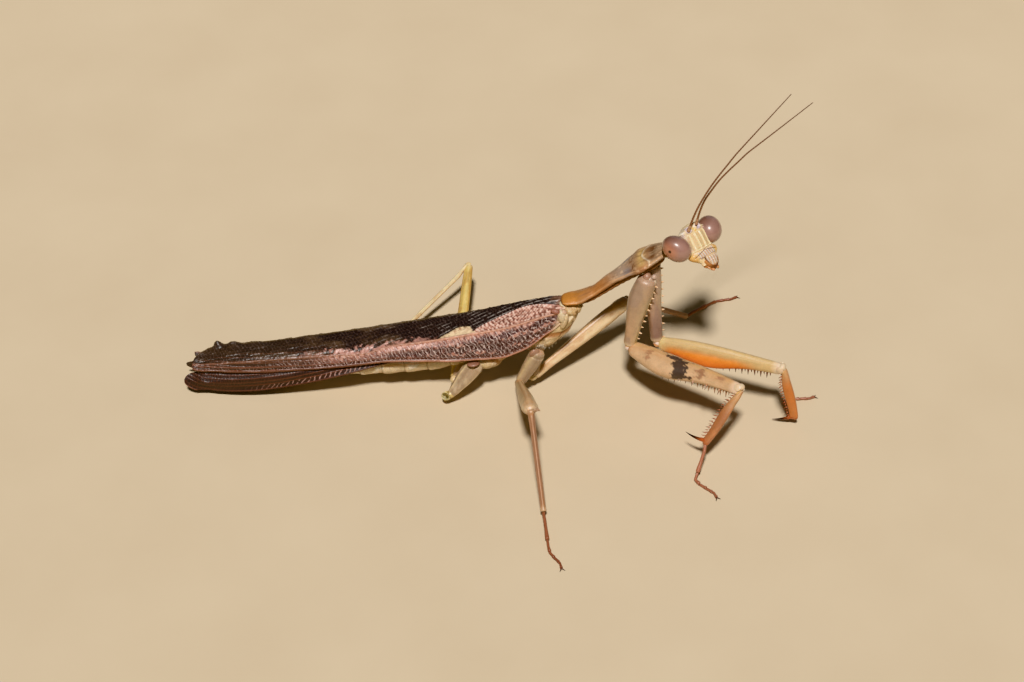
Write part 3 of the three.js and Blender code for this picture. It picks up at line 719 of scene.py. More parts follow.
def spine_row(name, points, count, length, radius, way, root, tip, short=0.5, every=3,
              stray=0.1, seed=1, tip_radius=0.015):
    """Spines along a line of points. All but every few are only short of their length."""
    inputs = {"Count": count, "Length": length * MM, "Radius": radius * MM, "Short": short,
              "Every": every, "Direction": tuple(float(v) for v in way), "Stray": stray, "Seed": seed,
              "Root Tint": (*map(float, root), 1), "Tip Tint": (*map(float, tip), 1),
              "Tip Radius": tip_radius * MM, "Material": finish_of("Spines")}
    return grown_piece(name, points, spine_tree(), inputs)


FINISHES = {
    "Spines": (cuticle, 0.3, 0.4, 2.0, 9.0, 0.3, 0.3, 0.005),
    "Face": (cuticle, 0.36, 0.35, 1.6, 8.0, 0.5, 0.34, 0.018, 0.12),
    "Neck shield": (cuticle, 0.38, 0.3, 0.9, 7.0, 0.7, 0.42, 0.03),
    "Soft flank": (cuticle, 0.5, 0.15, 1.3, 6.0, 0.8, 0.5, 0.05, 0.1),
    "Leg shell": (cuticle, 0.38, 0.25, 1.1, 8.0, 0.5, 0.36, 0.02, 0.1),
    "Foot shell": (cuticle, 0.4, 0.2, 2.0, 9.0, 0.5, 0.4, 0.015),
    "Feeler": (cuticle, 0.45, 0.1, 2.0, 9.0, 0.3, 0.4, 0.008),
    "Hair": (cuticle, 0.5, 0.0, 1.0, 5.0, 0.1, 0.15, 0.002),
    "Front wing": (wing_leather, (0.7, 0.4), (-1.1, 2.0), srgb(234, 210, 202), 0.72),
    "Hind wing": (wing_leather, (0.34, 0.5), (0.6, 2.6), srgb(118, 78, 66), 0.5, 0.46),
    "Eye": (glossy_eye,),
}


def finish_of(name):
    """The material of that name, made when it is first asked for."""
    make, *values = FINISHES[name]
    return bpy.data.materials.get(name) or make(name, *values)


# ---- the body's own places
MIDLINE = float(node_centre("abdomen")[0])
WING_BASE = float(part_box("tegmen_right")[0].y) / MM - 0.9
EYES = {side: node_centre(f"eye_{side}") for side in ("right", "left")}


# ---- settings
class MantisStage(bpy.types.PropertyGroup):
    """The camera and the lights."""
    aim: FloatVectorProperty(name="Aim", description="Point the camera looks at", subtype="TRANSLATION",
                             unit="LENGTH", size=3, default=((MIDLINE + 0.81) * MM, -1.411 * MM, 6.9 * MM))
    elevation: FloatProperty(name="Elevation", description="The camera's height angle", unit="ROTATION",
                             default=math.radians(41.5))
    key: FloatProperty(name="Key", description="Strength of the main light", min=0, default=3.7)
    fill: FloatProperty(name="Fill", description="Power of each soft light", unit="POWER", min=0,
                        default=0.16)
    room: FloatProperty(name="Room", description="Strength of the room's own light", min=0, default=0.06)


def tone(name, description, red, green, blue):
    """A colour setting, its default given as it looks on a screen, 0 to 255."""
    return FloatVectorProperty(name=name, description=description, subtype="COLOR", size=3, min=0, max=1,
                               default=tuple(srgb(red, green, blue)))


def length(name, description, millimetres):
    """A length setting, its default given in millimetres."""
    return FloatProperty(name=name, description=description, unit="LENGTH", min=0, precision=5,
                         default=millimetres * MM)


def number(name, description, default):
    """A setting that counts pieces."""
    return IntProperty(name=name, description=description, min=3, default=default)


class MantisColours(bpy.types.PropertyGroup):
    """Each part's ground colour, under its markings."""
    face: tone("Face", "Face and cheeks", 226, 200, 158)
    eyes: tone("Eyes", "Compound eyes", 168, 130, 118)
    feelers: tone("Feelers", "Roots of the feelers", 134, 92, 66)
    neck_shield: tone("Neck Shield", "Middle of the neck shield", 170, 132, 100)
    # its dark brown is partly the plate's own colour and partly painted shade
    neck_underside: tone("Neck Underside", "Plate under the neck", 104, 68, 44)
    flanks: tone("Flanks", "Soft skin of the flanks", 204, 176, 136)
    belly: tone("Belly", "Top of the abdomen", 192, 162, 122)
    wing_top: tone("Wing Top", "Dark top of the front wings", 34, 27, 27)
    wing_side: tone("Wing Side", "Side field of the front wings", 70, 44, 44)
    wing_bloom: tone("Wing Bloom", "Pink bloom along the main vein", 176, 122, 108)
    wing_patch: tone("Wing Patch", "Pale patch above the main vein", 222, 196, 160)
    hind_wing: tone("Hind Wings", "Ground of the hind wings", 44, 32, 29)
    fore_coxae: tone("Fore Coxae", "First joints of the grasping legs", 182, 152, 124)
    fore_femur_right: tone("Right Fore Femur", "Outer face of the right fore femur", 194, 156, 118)
    fore_femur_left: tone("Left Fore Femur", "Back of the left fore femur", 206, 176, 126)
    femur_flash: tone("Femur Flash", "Orange inner side of a fore femur", 224, 142, 70)
    femur_blot: tone("Femur Blot", "Dark blot on a fore femur", 64, 54, 52)
    fore_tibia_right: tone("Right Fore Tibia", "Right fore tibia", 166, 112, 78)
    fore_tibia_left: tone("Left Fore Tibia", "Left fore tibia", 196, 122, 72)
    fore_feet: tone("Fore Feet", "Feet of the grasping legs", 168, 110, 86)
    middle_femora: tone("Middle Femora", "Femora of the middle legs", 214, 184, 144)
    middle_tibiae: tone("Middle Tibiae", "Tibiae of the middle legs", 150, 110, 88)
    hind_femur: tone("Hind Femur", "Femur of the hind leg", 216, 186, 112)
    hind_tibia: tone("Hind Tibia", "Tibia of the hind leg", 216, 196, 156)
    hair: tone("Hair", "Tips of the flanks' hairs", 230, 222, 206)


class MantisSizes(bpy.types.PropertyGroup):
    """Fine sizes and counts that the frame doesn't give."""
    claw: length("Claw", "Length of a fore tibia's claw", 3.2)
    femur_spine: length("Femur Spine", "Longest spine under a fore femur's edges", 0.75)
    tibia_tooth: length("Tibia Tooth", "Longest tooth under a fore tibia", 0.5)
    coxa_bead: length("Coxa Bead", "Height of a bead on a fore coxa", 0.36)
    feeler: length("Feeler", "Thickness of a feeler at its root", 0.29)
    front_wing: length("Front Wing", "Thickness of a front wing", 0.2)
    hind_wing: length("Hind Wing", "Thickness of a hind wing", 0.16)
    hair: length("Hair", "Longest hair on the flanks", 0.36)
    feeler_joints: number("Feeler Joints", "Joints of a feeler", 62)
    coxa_beads: number("Coxa Beads", "Beads along a fore coxa", 11)
    femur_spines: number("Femur Spines", "Spines along a fore femur's inner edge", 20)
    tibia_teeth: number("Tibia Teeth", "Teeth along a fore tibia's inner edge", 17)
    shield_teeth: number("Shield Teeth", "Teeth along each edge of the neck shield's front", 26)
    hairs: number("Hairs", "Hairs on each segment of the flanks", 380)


def chosen(name):
    """A colour setting as linear values."""
    return np.array(getattr(bpy.context.scene.mantis_colours, name))


def length_of(name):
    """A length setting in millimetres."""
    return getattr(bpy.context.scene.mantis_sizes, name) / MM


def how_many(name):
    """A setting that counts pieces."""
    return getattr(bpy.context.scene.mantis_sizes, name)


def middle_colours():
    """The colours of a middle leg's parts."""
    return {"femur": chosen("middle_femora"), "pale": srgb(226, 204, 168), "dark": srgb(188, 140, 98),
            "joint": srgb(206, 174, 140), "lobe": srgb(184, 148, 120), "tibia": chosen("middle_tibiae"),
            "tibia_pale": srgb(176, 138, 110), "foot": (srgb(150, 96, 72), srgb(134, 80, 60))}


def hind_colours():
    """The colours of the hind leg's parts."""
    return {"femur": chosen("hind_femur"), "pale": srgb(228, 206, 140), "dark": srgb(176, 124, 66),
            "joint": srgb(222, 196, 146), "tibia": chosen("hind_tibia"), "tibia_pale": srgb(236, 222, 190),
            "foot": (srgb(170, 120, 88), srgb(150, 96, 72))}


# ---- the head
def head_axes():
    """The head's centre between the eyes and its axes: to its left, backwards and to the crown."""
    middle = (EYES["right"] + EYES["left"]) / 2
    left = unit(EYES["left"] - EYES["right"])
    lip = node_centre("labrum") - middle
    lip = unit(lip - (lip @ left) * left)
    lean = math.radians(13.3)  # how far the lip stands forward of the line through the face
    front = np.cross(left, -lip)
    crown = -lip * math.cos(lean) + front * math.sin(lean)
    back = np.cross(crown, left)
    if back @ (node_centre("pronotum") - middle) < 0:
        back, crown = -back, -crown
    return middle, np.stack([left, back, crown])


HEAD_CENTRE, HEAD_AXES = head_axes()


def on_head(points):
    """Points laid out on the head's own axes, put in their place on the model."""
    return HEAD_CENTRE + np.asarray(points, float) @ HEAD_AXES


def on_own_axes(node):
    """A node's triangles on the head's own axes."""
    return (node_triangles(node) - HEAD_CENTRE) @ HEAD_AXES.T


def build_head():
    """The head's shell: ridged shield, clypeus, cheeks, feeler sockets, ocelli and crown."""
    rows, around = 230, 230
    triangles = on_own_axes("head")
    low, high = -3.62, 2.12
    heights = np.linspace(low + 0.14, high - 0.16, 15)
    boxes = [section_box(triangles, UP * z, UP, RIGHTWARDS, BACKWARDS) for z in heights]
    knots = np.array([z for z, b in zip(heights, boxes) if b is not None])
    _, middle, wide, deep = np.array([b for b in boxes if b is not None]).T
    _, angle = ring_field(rows, around)
    z_line = low + (high - low) * (0.5 - 0.5 * np.cos(np.linspace(0, math.pi, rows)))
    cap = rounded_ends((z_line - low) / (high - low), 0.03, 0.06, 0.1)
    half = interpolate(knots, wide, z_line) * cap * (1 - 0.14 * ramp(-1.7, -3.0, z_line))
    depth = interpolate(knots, deep, z_line) * cap
    centre = interpolate(knots, middle, z_line)
    cosine, sine = np.cos(angle), np.sin(angle)
    square = 2.5  # 2 would give round sections, more gives squarer ones
    reach = (np.abs(cosine) ** square + np.abs(sine) ** square) ** (-1 / square)
    x = half[:, None] * reach * cosine
    y = depth[:, None] * reach * sine + centre[:, None]
    z = np.repeat(z_line[:, None], around, axis=1)
    drop = np.where(x > 0, 0.55, 0.3) * ramp(0.6, 1.5, np.abs(x))
    z = z - drop * ramp(0.8, 1.8, z) - 0.15 * ramp(1.2, 2.0, z)
    front = ramp(-0.05, -0.5, sine)
    ax = np.abs(x)

    ribs = bump(ax, 0.36, 0.1) + bump(ax, 1.06, 0.11)
    shield = ramp(1.42, 1.22, ax) * ramp(-1.52, -1.38, z) * ramp(0.82, 0.62, z)
    brow = bump(z, -1.47 + 0.05 * ax, 0.085) * ramp(1.75, 1.5, ax)
    # the groove under the brow ridge, painted dark below it: painted shade
    shaded_groove = bump(z, -1.68 - 0.28 * ax, 0.06) * ramp(1.9, 1.6, ax)
    plate = ramp(1.28, 1.1, ax) * ramp(-2.68, -2.5, z) * ramp(-1.6, -1.76, z)
    fluting = 0.5 + 0.5 * np.cos(TURN * ax / 0.34)
    edge_line = bump(z, -2.62 + 0.12 * ax, 0.06) * ramp(1.5, 1.2, ax)
    cheek = bump(ax, 1.75, 0.4) * bump(z, -2.25, 0.7)
    socket = np.hypot(x + np.where(x < 0, 0.86, -0.5), z - 1.32)
    dots = np.minimum(np.hypot(x, z - 0.98), np.hypot(ax - 0.28, z - 1.25))
    back_groove = bump(ax, 0.55, 0.1) * ramp(1.5, 1.8, z)
    rise = (0.05 * shield + 0.11 * ribs * shield + 0.15 * brow - 0.1 * shaded_groove + 0.06 * plate
            + 0.07 * fluting * plate - 0.07 * edge_line + 0.05 * cheek
            + 0.13 * bump(socket, 0.36, 0.12) - 0.16 * bump(socket, 0, 0.22)
            + 0.13 * ramp(0.17, 0.02, dots) - 0.06 * back_groove)
    rise = rise * front + 0.02 * mottle((x, y, z), 0.9, 3)
    points = np.stack([x, y, z], axis=-1)
    outward = unit(np.stack([cosine / half[:, None], sine / depth[:, None], 0 * x], axis=-1))
    points = points + outward * rise[..., None]
    points[..., 0] += 0.32 * ramp(-1.3, -3.2, z)

    margin = bump(ax, 1.75, 0.33) * ramp(-1.6, -1.0, z)
    band = ramp(1.2, 1.6, ax) * ramp(-1.45, -1.75, z)
    under = ramp(0.25, 0.75, sine)
    tint = paint(
        chosen("face"),
        (srgb(206, 176, 132), shield * (1 - ribs) * 0.85),
        (srgb(244, 226, 182), np.clip(ribs, 0, 1) * shield),
        (srgb(232, 222, 212), margin * 0.8),
        (srgb(246, 228, 188), brow * 0.9),
        (srgb(220, 172, 108), band * 0.8),
        (srgb(226, 178, 96), cheek * 0.5),
        (srgb(206, 200, 204), plate * fluting * 0.85),
        (srgb(196, 150, 112), plate * (1 - fluting) * 0.7),
        # dark brown in the groove under the brow ridge: painted shade; the same brown also marks the edge
        # line lower down
        (srgb(120, 76, 54), shaded_groove * 0.75 + edge_line * 0.6),
        (srgb(126, 72, 38), under * ramp(-0.4, -1.2, z)),
        (srgb(172, 128, 88), under * ramp(-1.2, -0.4, z)),
        (srgb(196, 180, 190), ramp(0.5, 0.3, socket) * 0.9),
        (srgb(120, 100, 110), bump(socket, 0.0, 0.15) * 0.8),
        (srgb(240, 200, 110), ramp(0.19, 0.1, dots)),
    )
    tube_piece("head_shell", on_head(points), tint, "Face", "face", "head")


def build_mouth():
    """The ribbed upper lip, the dark jaws below it and two pairs of short jointed palps."""
    heights = on_own_axes("labrum")[..., 2]
    rows, around = 70, 90
    start, end = np.array([0, -0.82, heights.max() - 0.95]), np.array([0, -0.52, heights.min() + 0.06])
    t = np.linspace(0, 1, rows)
    path = start + t[:, None] * (end - start)
    share, angle = ring_field(rows, around)
    width = interpolate([0, 0.3, 0.7, 1], [0.86, 0.82, 0.62, 0.34], t) * rounded_ends(t, 0.04, 0.14)
    thick = interpolate([0, 0.5, 1], [0.3, 0.34, 0.2], t) * rounded_ends(t, 0.04, 0.14)
    x = width[:, None] * np.cos(angle)
    ribs = 0.5 + 0.5 * np.cos(TURN * np.abs(x) / 0.36)
    zone = ramp(0.1, 0.2, share) * ramp(0.96, 0.8, share)
    rim = bump(share, 0.08, 0.04) + bump(share, 0.5, 0.03)
    front = ramp(0.1, 0.5, -np.sin(angle))
    rings = np.stack([x, path[:, None, 1] + thick[:, None] * np.sin(angle)
                      - (0.07 * ribs * zone + 0.05 * rim) * front, path[:, None, 2] + 0 * x], axis=-1)
    rings[..., 0] += 0.28 + 0.2 * share
    tint = paint(srgb(214, 186, 150), (srgb(216, 208, 202), ribs * zone * front * 0.85),
                 (srgb(186, 142, 106), (1 - ribs) * zone * front * 0.7),
                 (srgb(196, 142, 96), ramp(0.75, 1.0, share)),
                 (srgb(126, 78, 50), 1 - front))
    tube_piece("upper_lip", on_head(rings), tint, "Face", "face", "labrum")

    jaws = Shell()
    t = np.linspace(0, 1, 26)
    for side in (-1, 1):
        path = np.stack([side * interpolate([0, 0.6, 1], [0.72, 0.45, 0.05], t),
                         interpolate([0, 1], [-0.1, -0.5], t), interpolate([0, 1], [-2.9, -4.2], t)], 1)
        radius = interpolate([0, 0.5, 1], [0.42, 0.36, 0.12], t) * rounded_ends(t, 0.1, 0.1)
        path[:, 0] += 0.45
        rings = rings_along(path, BACKWARDS, radius, radius * 1.2, 22)
        shade = np.broadcast_to(ramp(0.35, 1.0, t)[:, None], (26, 22))
        add_tube(jaws, on_head(rings), blend(srgb(184, 126, 78), srgb(84, 46, 30), shade))
        for k, (reach, back) in enumerate(((1.55, 0.25), (0.95, 0.5))):
            joints = np.array([[side * 0.75, back, -2.9], [side * (0.95 + 0.2 * k), back - 0.1, -3.5],
                               [side * 0.7, back - 0.45, -3.5 - 0.42 * reach],
                               [side * 0.3, back - 0.75, -3.55 - 0.6 * reach]]) * [0.8, 1, 1] + [0.4, 0, 0]
            for near, far in zip(joints[:-1], joints[1:]):
                s = np.linspace(0, 1, 14)
                line = near + s[:, None] * (far - near)
                r = 0.14 * (1 + 0.15 * np.sin(s * math.pi)) * rounded_ends(s, 0.18, 0.18)
                rings = rings_along(line, np.array([0.2, 1.0, 0.1]), r, r, 14)
                along = s[:, None] + 0 * rings[..., 0]
                add_tube(jaws, on_head(rings), blend(srgb(176, 104, 58), srgb(206, 150, 100), along))
    foot = on_own_axes("jaws")[..., 2].min()
    s = np.linspace(0, 1, 24)
    line = np.array([0.3, 0.1, -2.6]) + s[:, None] * np.array([0.12, -0.4, foot + 2.8])
    cap = rounded_ends(s, 0.2, 0.3)
    rings = rings_along(line, BACKWARDS, 0.62 * cap * (1.1 - 0.4 * s), 0.42 * cap, 28)
    along = s[:, None] + 0 * rings[..., 0]
    add_tube(jaws, on_head(rings), blend(srgb(180, 122, 78), srgb(98, 54, 34), along))
    jaws.finish("mouthparts", "Face", "jaws", "jaws")


def build_eyes():
    """Two big glossy compound eyes; the thin pale ring where each meets the head is painted on the head's
    shell.
    """
    for side_name, side in (("right", -1), ("left", 1)):
        local = on_own_axes(f"eye_{side_name}")
        centre = (local.min(axis=(0, 1)) + local.max(axis=(0, 1))) / 2
        lean = math.radians(30) * side
        c, s = math.cos(lean), math.sin(lean)
        turn = np.array([[c, 0, s], [0, 1, 0], [-s, 0, c]])
        own = (local - centre) @ turn
        fuller, shift = (([1.05, 1.06, 1.03], [-0.08, 0.1, 0.0]) if side < 0
                         else ([1.14, 1.05, 0.94], [-0.42, 0.3, 0.18]))
        radii = np.abs(own).max(axis=(0, 1)) * fuller
        centre = centre + shift
        rows, around = 110, 120
        polar = np.linspace(0.02, math.pi - 0.02, rows)[:, None]
        angle = np.linspace(0, TURN, around, endpoint=False)[None, :]
        way = np.stack([np.sin(polar) * np.cos(angle), np.sin(polar) * np.sin(angle),
                        np.cos(polar) + 0 * angle], axis=-1)
        egg = 1 - 0.06 * way[..., 2:3] * np.array([1.0, 1.0, 0.0])
        points = (way * egg * radii) @ turn.T + centre
        aim = unit(points - centre)
        # glow is where the orange eye shine lies and spot where the dark pseudopupil lies: light seen inside
        # a compound eye, painted in fixed places
        glow = unit(np.array([side * 0.95, -0.16, 0.02]))
        spot = unit(np.array([side * 0.93, -0.36, 0.05]))
        top = ramp(0.15, 0.95, aim[..., 2])
        near = ramp(0.55, 1.05, aim @ glow)
        tint = paint(chosen("eyes"), (srgb(124, 88, 74), top * 0.8),
                     (srgb(112, 74, 56), ramp(0.35, 0.9, aim[..., 1]) * 0.7),
                     # orange eye shine: painted reflection
                     (srgb(196, 128, 94), near * 0.75),
                     # dark pseudopupil, painted in one fixed place
                     (srgb(52, 26, 20), ramp(0.988, 0.996, aim @ spot)))
        tube_piece(f"compound_eye_{side_name}", on_head(points), tint, "Eye", "eyes", f"eye_{side_name}")


FEELER_JOINT = 0.36  # length of one joint of a feeler


def feeler_tree():
    """Geometry nodes: short joints strung along a line, thinning to its end."""
    tree, given, out = growing_tree("Jointed feeler", [
        ("Joints", "Int", 60), ("Spacing", "Float", FEELER_JOINT * MM), ("Root Radius", "Float", 0.19 * MM),
        ("Tip Radius", "Float", 0.06 * MM), ("Root Tint", "Color", (0.3, 0.2, 0.1, 1)),
        ("Tip Tint", "Color", (0.2, 0.1, 0.05, 1))])
    bead = add_node(tree, "GeometryNodeMeshUVSphere", {"Segments": 10, "Rings": 6, "Radius": 1.0})
    index = add_node(tree, "GeometryNodeInputIndex").outputs[0]
    share = maths(tree, "DIVIDE", index, given["Joints"])
    spread = maths(tree, "SUBTRACT", given["Tip Radius"], given["Root Radius"])
    radius = maths(tree, "MULTIPLY_ADD", spread, share, given["Root Radius"])
    length = maths(tree, "MULTIPLY", given["Spacing"], 0.78)
    size = add_node(tree, "ShaderNodeCombineXYZ", {0: radius, 1: radius, 2: length}).outputs[0]
    dots = tinted(tree, along_line(tree, given, given["Joints"]), share, given)
    along = add_node(tree, "GeometryNodeInputTangent").outputs[0]
    return strung(tree, given, out, dots, bead.outputs["Mesh"], along, size)


def build_feelers():
    """Two long feelers of many short joints, each on a stouter first joint."""
    tree = feeler_tree()
    for side_name in ("right", "left"):
        line = centre_line(f"antenna_{side_name}", 14, HEAD_CENTRE)
        line[0] += (line[0] - line[1]) * 0.08
        if side_name == "left":
            fading = np.linspace(1, 0, len(line))[:, None] ** 2
            line = line + fading * (np.array([-0.5, 0.1, 0.2]) @ HEAD_AXES)
        path = path_points(line, 90)
        inputs = {"Joints": how_many("feeler_joints"), "Spacing": FEELER_JOINT * MM,
                  "Root Radius": length_of("feeler") / 2 * MM, "Tip Radius": length_of("feeler") / 5.3 * MM,
                  "Root Tint": (*chosen("feelers"), 1), "Tip Tint": (*srgb(98, 66, 50), 1),
                  "Material": finish_of("Feeler")}
        piece = grown_piece(f"feeler_{side_name}", path, tree, inputs)
        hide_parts(f"antenna_{side_name}")
        t = np.linspace(0, 1, 24)
        near = path[0] + (path[0] - path[3]) * 0.3
        stem = near + t[:, None] * (path[3] - near)
        radius = interpolate([0, 0.3, 0.6, 0.75, 1], [0.2, 0.22, 0.17, 0.19, 0.15], t)
        radius = radius * rounded_ends(t, 0.1, 0.1)
        tube_piece(f"feeler_base_{side_name}", rings_along(stem, UP, radius, radius, 20), srgb(176, 136, 104),
                   "Feeler", "antennae")


# ---- front of the body
def build_neck_shield():
    """The long neck shield: level over the wing roots, waisted, swollen above the front legs."""
    rows, around = 260, 140
    line = stretched(centre_line("pronotum", 13, (MIDLINE, 40.0, 15.0), 0.03), 0.35, 0.3)
    path, wide, high = measured_tube("pronotum", line, UP, np.linspace(0.03, 0.97, 19), rows)
    t = np.linspace(0, 1, rows)
    share, angle = ring_field(rows, around)
    cap = rounded_ends(t, 0.05, 0.03)
    flatter = interpolate([0, 0.12, 0.3, 0.45, 0.6, 0.72, 0.85, 1],
                          [0.45, 0.5, 0.2, 0.05, 0.5, 0.7, 0.6, 0.2], t)
    path[:, 2] -= flatter / 2
    high = high - flatter / 2
    up, side = np.sin(angle), np.cos(angle)
    keel = bump(angle, math.pi / 2, 0.09) * ramp(0.2, 0.4, share) * 0.05
    groove = 0.885 - 0.07 * (up - 0.5) ** 2 * 4 * (up > 0.5) - 0.03 * np.abs(side) ** 4
    crease = bump(share, groove, 0.008) * ramp(0.0, 0.4, up)
    margin = bump(np.abs(side), 1.0, 0.12)
    pinch = 0.14 * margin * ramp(0.05, 0.2, share)
    dip = bump(angle, math.pi / 2, 0.5) * bump(share, 0.9, 0.03) * 0.14
    rings = rings_along(path, UP, wide * cap, high * cap, around,
                        lambda a, s: keel + 0.1 * crease - 0.06 * bump(s, groove - 0.025, 0.012) + pinch - dip
                        + 0.03 * mottle((s * 14, np.cos(a) * 2, np.sin(a) * 2), 1.2, 5))
    streak = mottle((share * 5, side * 3.0, up * 3.0), 0.9, 11)
    spots = mottle((share * 22, side * 3.0, up * 3.0), 1.0, 12)
    tint = paint(
        chosen("neck_shield"),
        (srgb(192, 130, 70), ramp(0.3, 0.1, share + 0.05 * streak) * 0.95),
        (srgb(178, 118, 70), ramp(0.1, 0.34, share) * ramp(0.52, 0.36, share) * 0.8),
        (srgb(166, 146, 130), bump(share, 0.6, 0.1) * ramp(-0.3, 0.6, up) * 0.8),
        (srgb(136, 132, 134), bump(share, 0.66, 0.045) * bump(np.abs(side), 0.75, 0.3) * 0.85),
        (srgb(112, 70, 44), bump(share, 0.72, 0.03) * ramp(0.3, 0.8, up) * ramp(-0.3, 0.3, spots)),
        (srgb(206, 172, 114), bump(share, 0.8, 0.035) * ramp(0.1, 0.7, up) * 0.9),
        (srgb(164, 108, 76), bump(share, 0.79, 0.05) * bump(np.abs(side), 0.95, 0.2) * 0.8),
        (srgb(164, 138, 112), ramp(0.86, 0.9, share) * 0.9),
        (srgb(104, 70, 48), bump(share, 0.9, 0.03) * ramp(0.4, 0.9, up) * ramp(-0.4, 0.3, streak) * 0.9),
        (srgb(222, 208, 182), crease * 0.75),
        # dark brown along the underside of the side edge: painted shade under the edge
        (srgb(96, 56, 34),
         bump(np.abs(side), 0.98, 0.08) * ramp(0.02, 0.1, share) * ramp(0.2, -0.2, up) * 0.8),
        # pale line along the top of the side edge: painted highlight
        (srgb(214, 166, 120), bump(np.abs(side), 0.92, 0.04) * ramp(0.0, 0.3, up) * 0.6),
        (srgb(116, 74, 48), ramp(0.1, 0.6, streak) * ramp(0.1, 0.3, share) * 0.35),
        (srgb(232, 196, 156), ramp(0.3, 0.7, spots) * ramp(0.4, 0.6, share) * 0.35),
        (srgb(84, 48, 28), ramp(0.03, 0.0, share) * 0.8),
    )
    tube_piece("neck_shield", rings, tint, "Neck shield", "pronotum", "pronotum")
    side_way, _ = square_to(unit(np.gradient(path, axis=0)), UP)
    for name, sign in (("right", -1), ("left", 1)):
        way = side_way * (sign * np.sign(side_way[:, :1]))
        keep = slice(int(rows * 0.66), int(rows * 0.97))
        edge = (path + way * (wide * 1.03)[:, None])[keep]
        spine_row(f"shield_teeth_{name}", edge, how_many("shield_teeth"), 0.17, 0.06, (sign, 0, -0.1),
                  srgb(206, 150, 100), srgb(96, 56, 36), short=0.7, every=2, tip_radius=0.02,
                  seed=7)


def build_neck_underside():
    """The dark underside of the neck; the soft flesh round the roots of the front legs is built with each
    front coxa.
    """
    rows, around = 120, 70
    line = stretched(centre_line("prosternum", 9, (MIDLINE, 40.0, 10.0), 0.04), 0.4, 0.4)
    path, wide, high = measured_tube("prosternum", line, UP, np.linspace(0.06, 0.94, 13), rows)
    _, angle = ring_field(rows, around)
    cap = rounded_ends(np.linspace(0, 1, rows), 0.05, 0.05)
    rings = rings_along(path + 0.25 * UP, UP, wide * cap, high * cap, around,
                        lambda a, s: 0.03 * np.sin(s * 90))
    # the dark brown ground is partly painted shade, and the lower side is painted darker still: painted shade
    tint = paint(chosen("neck_underside"), (srgb(140, 96, 62), bump(np.abs(np.cos(angle)), 0.8, 0.25)),
                 (srgb(66, 40, 26), ramp(-0.3, -0.9, np.sin(angle))))
    tube_piece("neck_underside", rings, tint, "Soft flank", "prosternum", "prosternum")


def build_trunk():
    """One skin over the neck joint, the flanks that carry the legs and wings, and their seams."""
    shell = Shell()
    for node, rows, around, seed in (("neck", 60, 60, 21), ("mesothorax", 170, 150, 22),
                                     ("metathorax", 150, 140, 23)):
        far = (MIDLINE, 60.0, 20.0 if node == "neck" else 10.0)
        line = stretched(centre_line(node, 7, far, 0.06), 0.9, 0.9)
        path, wide, tall = measured_tube(node, line, UP, np.linspace(0.1, 0.9, 11), rows)
        t = np.linspace(0, 1, rows)
        share, angle = ring_field(rows, around)
        front = node == "mesothorax"
        cap = rounded_ends(t, 0.14, 0.34 if front else 0.14)
        soft = mottle((share * 6, np.cos(angle) * 2.2, np.sin(angle) * 2.2), 1.5, seed)
        seams = bump(np.sin(share * 9 + 2.2 * np.sin(angle) + seed), 1.0, 0.16)
        low_side = ramp(0.1, -0.5, np.sin(angle))
        belly_out = 1.1 * ramp(0.95, 0.3, share) * ramp(0, 0.2, share) * low_side * (node == "metathorax")
        drawn_in = 0.35 * low_side * front * ramp(0.5, 1, share)
        rings = rings_along(path, UP, wide * cap, tall * cap, around,
                            lambda a, s: 0.12 * soft - 0.14 * seams + belly_out - drawn_in)
        dots = mottle(np.moveaxis(rings, -1, 0), 0.7, seed + 9, 2)
        tint = paint(chosen("flanks"), (srgb(176, 156, 112), ramp(0.1, 0.6, soft) * 0.5),
                     (srgb(230, 212, 178), ramp(0.0, -0.6, soft) * 0.7), (srgb(164, 104, 62), seams * 0.8),
                     (srgb(186, 154, 122), ramp(-0.4, -0.95, np.sin(angle)) * 0.6),
                     (srgb(96, 66, 48), ramp(0.62, 0.8, dots) * 0.7),
                     (srgb(232, 218, 192), ramp(-0.5, -0.8, dots) * 0.5))
        add_tube(shell, rings, tint)
    for side in (-1, 1):
        hinge = np.array([MIDLINE + side * 2.2, WING_BASE, 0.0])
        for place, radii, axis, shade in (
                ((-side * 0.66, 0.78, 13.1), (0.9, 0.55), (side * 0.35, -0.1, -1), (206, 184, 150)),
                ((-side * 0.5, 0.45, 12.4), (1.2, 0.42), (side * 0.1, 0.3, -1), (204, 178, 140)),
                ((-side * 0.85, 0.6, 13.2 - 0.35 * side), (0.45, 0.45), (0, -0.4, 1), (196, 162, 134))):
            add_ball(shell, hinge + place, radii, axis, srgb(*shade))
        if side < 0:
            add_ball(shell, hinge + [0.75, 1.6, 13.8], (0.6, 0.36), (0.2, 1, 0.1), srgb(158, 108, 92))
            add_ball(shell, hinge + [2.0, 0.5, 14.0], (0.25, 0.6), (0, 0, 1), srgb(218, 198, 164))
    s = np.linspace(0, 1, 70)
    collar = np.array([MIDLINE, WING_BASE - 1.7, 13.35]) + s[:, None] * np.array([0, 3.2, -0.35])
    cap = rounded_ends(s, 0.4, 0.4)
    rings = rings_along(collar, UP, 1.2 * cap, 0.95 * cap, 60,
                        lambda a, s: 0.05 * np.sin(s * 26 + np.cos(a * 2)))
    dots = mottle(np.moveaxis(rings, -1, 0), 0.6, 33, 2)
    add_tube(shell, rings, paint(srgb(196, 164, 120), (srgb(110, 76, 50), ramp(0.35, 0.7, dots) * 0.7),
                                 (srgb(222, 202, 164), ramp(-0.2, -0.6, dots) * 0.7)))
    shell.finish("trunk_skin", "Soft flank", "pleura", "neck", "mesothorax", "metathorax")


